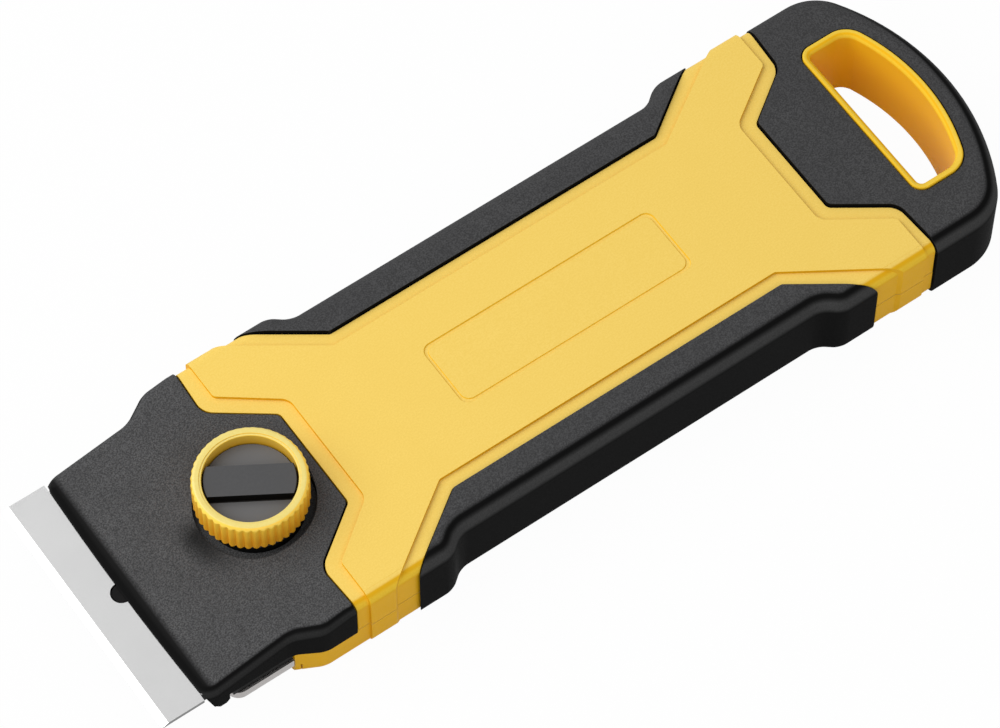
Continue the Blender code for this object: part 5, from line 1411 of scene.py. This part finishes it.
moulded_plastic(
    "black_moulding",
    flat=(0.112, 0.112, 0.114),
    deep=(0.046, 0.046, 0.047),
    band=grey(0.030),
    wall=grey(0.006),
    part=(grey(0.012), "X", LIP_SHADE_DARK, LIP_SHADE_END),
    grain=3200.0, roughness=(0.5, 0.65), bump=0.3, specular=0.01,
)
moulded_plastic(
    "grip_black",
    flat=(0.084, 0.084, 0.086),
    deep=(0.044, 0.044, 0.045),
    band=grey(0.062),
    wall=grey(0.006),
    grain=3200.0, roughness=(0.5, 0.65), bump=0.3, specular=0.01,
)
moulded_plastic(
    "insert_black",
    flat=(0.092, 0.092, 0.094),
    deep=(0.086, 0.086, 0.088),
    band=grey(0.02),
    wall=grey(0.004),
    part=((0.155, 0.155, 0.158), "Z", POCKET_PALE, POCKET_DARK),
    mottle=0.5, grain=1500.0, roughness=(0.35, 0.45), bump=0.05, specular=0.02,
)
moulded_plastic(
    "jaw_black",
    flat=(0.011, 0.010, 0.010),
    deep=grey(0.008),
    band=grey(0.008),
    wall=grey(0.006),
    grain=2300.0, roughness=(0.4, 0.5), bump=0.2, specular=0.05,
)
print("plastics", sorted(MATERIALS))

# %% Steels
STREAK = 0.35
SIDE_SHADE_FROM, SIDE_SHADE_TO = 0.1, 0.4


def drawn_steel(name, bright, dull, side, stretch, roughness):
    """Steel with drawn lines, bright and dull patches, and a colour of its own for its standing
    sides, which on the blade and the plate is darker: painted shade.
    """
    tree, shader = new_material(name)
    marks = add(tree, "ShaderNodeGroup", {"Stretch": stretch}, node_tree=lines).outputs
    worn = mix_colour(tree, ranged(tree, marks["Cloud"], 0.0, 1.0), bright, dull)
    lined = mix_colour(tree, ranged(tree, marks["Lines"], 0.0, STREAK), worn, dull)
    # Standing sides take the side colour; on the blade and the plate it is painted shade.
    above_side_shade = ranged(tree, split(tree, "Normal")["Z"], 0.0, 1.0, SIDE_SHADE_FROM, SIDE_SHADE_TO)
    colour = mix_colour(tree, above_side_shade, side, lined)
    rough = ranged(tree, marks["Lines"], *roughness)
    feed(tree, shader, {"Base Color": colour, "Roughness": rough, "Metallic": 1.0})
    print("steel", name)


drawn_steel(
    "blade_steel",
    bright=grey(0.585), dull=grey(0.56), side=grey(0.18),
    stretch=(9000.0, 60.0, 900.0), roughness=(0.22, 0.24),
)
drawn_steel(
    "plate_steel",
    bright=(0.55, 0.53, 0.52), dull=(0.45, 0.43, 0.42), side=(0.41, 0.39, 0.38),
    stretch=(70.0, 3000.0, 3000.0), roughness=(0.3, 0.4),
)
drawn_steel(
    "fastener_steel",
    bright=grey(0.45), dull=grey(0.38), side=grey(0.45),
    stretch=(400.0, 400.0, 2500.0), roughness=(0.3, 0.42),
)

# %% [markdown]
# ## Putting the finishes on
# Each new piece takes the finish of the record's slot that its CAD node names. The nodes that stay,
# such as the jaw, the spring and the nut, get the same finishes in their own slots.

# %% Finish each piece and node
OWN_FINISH = {
    "knob_moulding": "ring_yellow",
    "knob_plug": "insert_black",
    "liner_moulding": "liner_yellow",
    "lower_jaw": "jaw_black",
}

for piece in DRESSED:
    piece.data.materials.append(MATERIALS[OWN_FINISH.get(piece.name, piece["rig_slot"])])
kept = [node for node, body in frame["nodes"].items() if not body.hide_render]
for node in kept:
    for slot in frame["nodes"][node].material_slots:
        slot.material = MATERIALS[OWN_FINISH.get(node, SLOT_OF[node])]
print("nodes that stay:", kept)

# %% [markdown]
# ## Floor, light and camera
# The photograph has a plain white ground. The floor is white to the camera and to reflections, and
# a plain diffuse floor to all other light, so it keeps a faint shadow. One broad soft lamp stands
# where the blade's bevel mirrors it and the flat tops don't, and a small one fills the near side.

# %% Floor and world
FLOOR_HALF = 3.0
FLOOR_DROP = 0.2 * MM
WHITE_SHARE = 0.97
FLOOR_WHITE = 0.8
WORLD_LEVEL = 0.5

floor_form = bmesh.new()
bmesh.ops.create_grid(floor_form, x_segments=1, y_segments=1, size=FLOOR_HALF)
bmesh.ops.translate(floor_form, vec=(0.0, 0.0, -FLOOR_DROP), verts=floor_form.verts)
floor = make_object("floor", floor_form)
floor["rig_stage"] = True


def seen_directly(tree):
    """1 for rays from the camera, and for those seen in a reflection or through glass."""
    rays = add(tree, "ShaderNodeLightPath").outputs
    either = maths(tree, "MAXIMUM", rays["Is Camera Ray"], rays["Is Glossy Ray"])
    return maths(tree, "MAXIMUM", either, rays["Is Transmission Ray"])


ground = bpy.data.materials.new("white_ground")
ground.use_nodes = True
ground_tree = ground.node_tree
ground_tree.nodes.clear()
matt = add(ground_tree, "ShaderNodeBsdfDiffuse", {"Color": (*grey(FLOOR_WHITE), 1.0)})
white = add(ground_tree, "ShaderNodeEmission", {"Strength": 1.0})
share = maths(ground_tree, "MULTIPLY", seen_directly(ground_tree), WHITE_SHARE)
shown = {"Fac": share, 1: matt.outputs["BSDF"], 2: white.outputs["Emission"]}
mixed = add(ground_tree, "ShaderNodeMixShader", shown)
add(ground_tree, "ShaderNodeOutputMaterial", {"Surface": mixed.outputs["Shader"]})
floor.data.materials.append(ground)

world = bpy.data.worlds.new("studio")
bpy.context.scene.world = world
world.use_nodes = True
sky_tree = world.node_tree
glow = ranged(sky_tree, seen_directly(sky_tree), WORLD_LEVEL, 1.0, 0.0, 1.0)
feed(sky_tree, sky_tree.nodes["Background"], {"Color": (*grey(1.0), 1.0), "Strength": glow})
print("floor and world ready")

# %% Lamps
AIM = Vector((-0.00959, -0.00429, 0.0200))


def soft_lamp(name, direction, distance, side, radiance):
    """A square lamp that shines at the aim with a given radiance."""
    direction = Vector(direction)
    light = bpy.data.lights.new(name, "AREA")
    light.shape = "SQUARE"
    light.size = side
    light.energy = radiance * math.pi * side**2
    lamp = new_object(name, light)
    lamp.location = AIM + direction.normalized() * distance
    lamp.rotation_euler = direction.to_track_quat("Z", "Y").to_euler()
    print(name, round(light.energy, 2), "W")


soft_lamp("front_key", direction=(-0.561, 0.403, 0.712), distance=0.9, side=0.9, radiance=2.5)
soft_lamp("near_fill", direction=(-0.2, -0.75, 0.65), distance=0.8, side=0.4, radiance=1.7)

# %% Camera
SENSOR_WIDTH = 36.0
FOCAL_LENGTH = 180.0
NEAREST = 0.01
CAMERA_PLACE = Vector((-0.30375, -0.42222, 0.92185))
CAMERA_RIGHT = Vector((0.81775, -0.57557, 0.0))
CAMERA_UP = Vector((0.50075, 0.71145, 0.49303))
CAMERA_BACK = Vector((-0.28377, -0.40318, 0.87001))

lens = bpy.data.cameras.new("camera")
lens.sensor_fit = "HORIZONTAL"
lens.sensor_width = SENSOR_WIDTH
lens.lens = FOCAL_LENGTH
lens.clip_start = NEAREST
camera = new_object("camera", lens)
turn = Matrix((CAMERA_RIGHT, CAMERA_UP, CAMERA_BACK)).transposed().to_4x4()
camera.matrix_world = Matrix.Translation(CAMERA_PLACE) @ turn
bpy.context.scene.camera = camera
bpy.context.scene.view_settings.view_transform = "Standard"
print("camera at", [round(value, 3) for value in CAMERA_PLACE])

# %% Sizes and finish
look_low, look_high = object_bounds()
growth = (*(cad_low - look_low), *(look_high - cad_high))
print("grown by, mm:", [round(value / MM, 3) for value in growth])
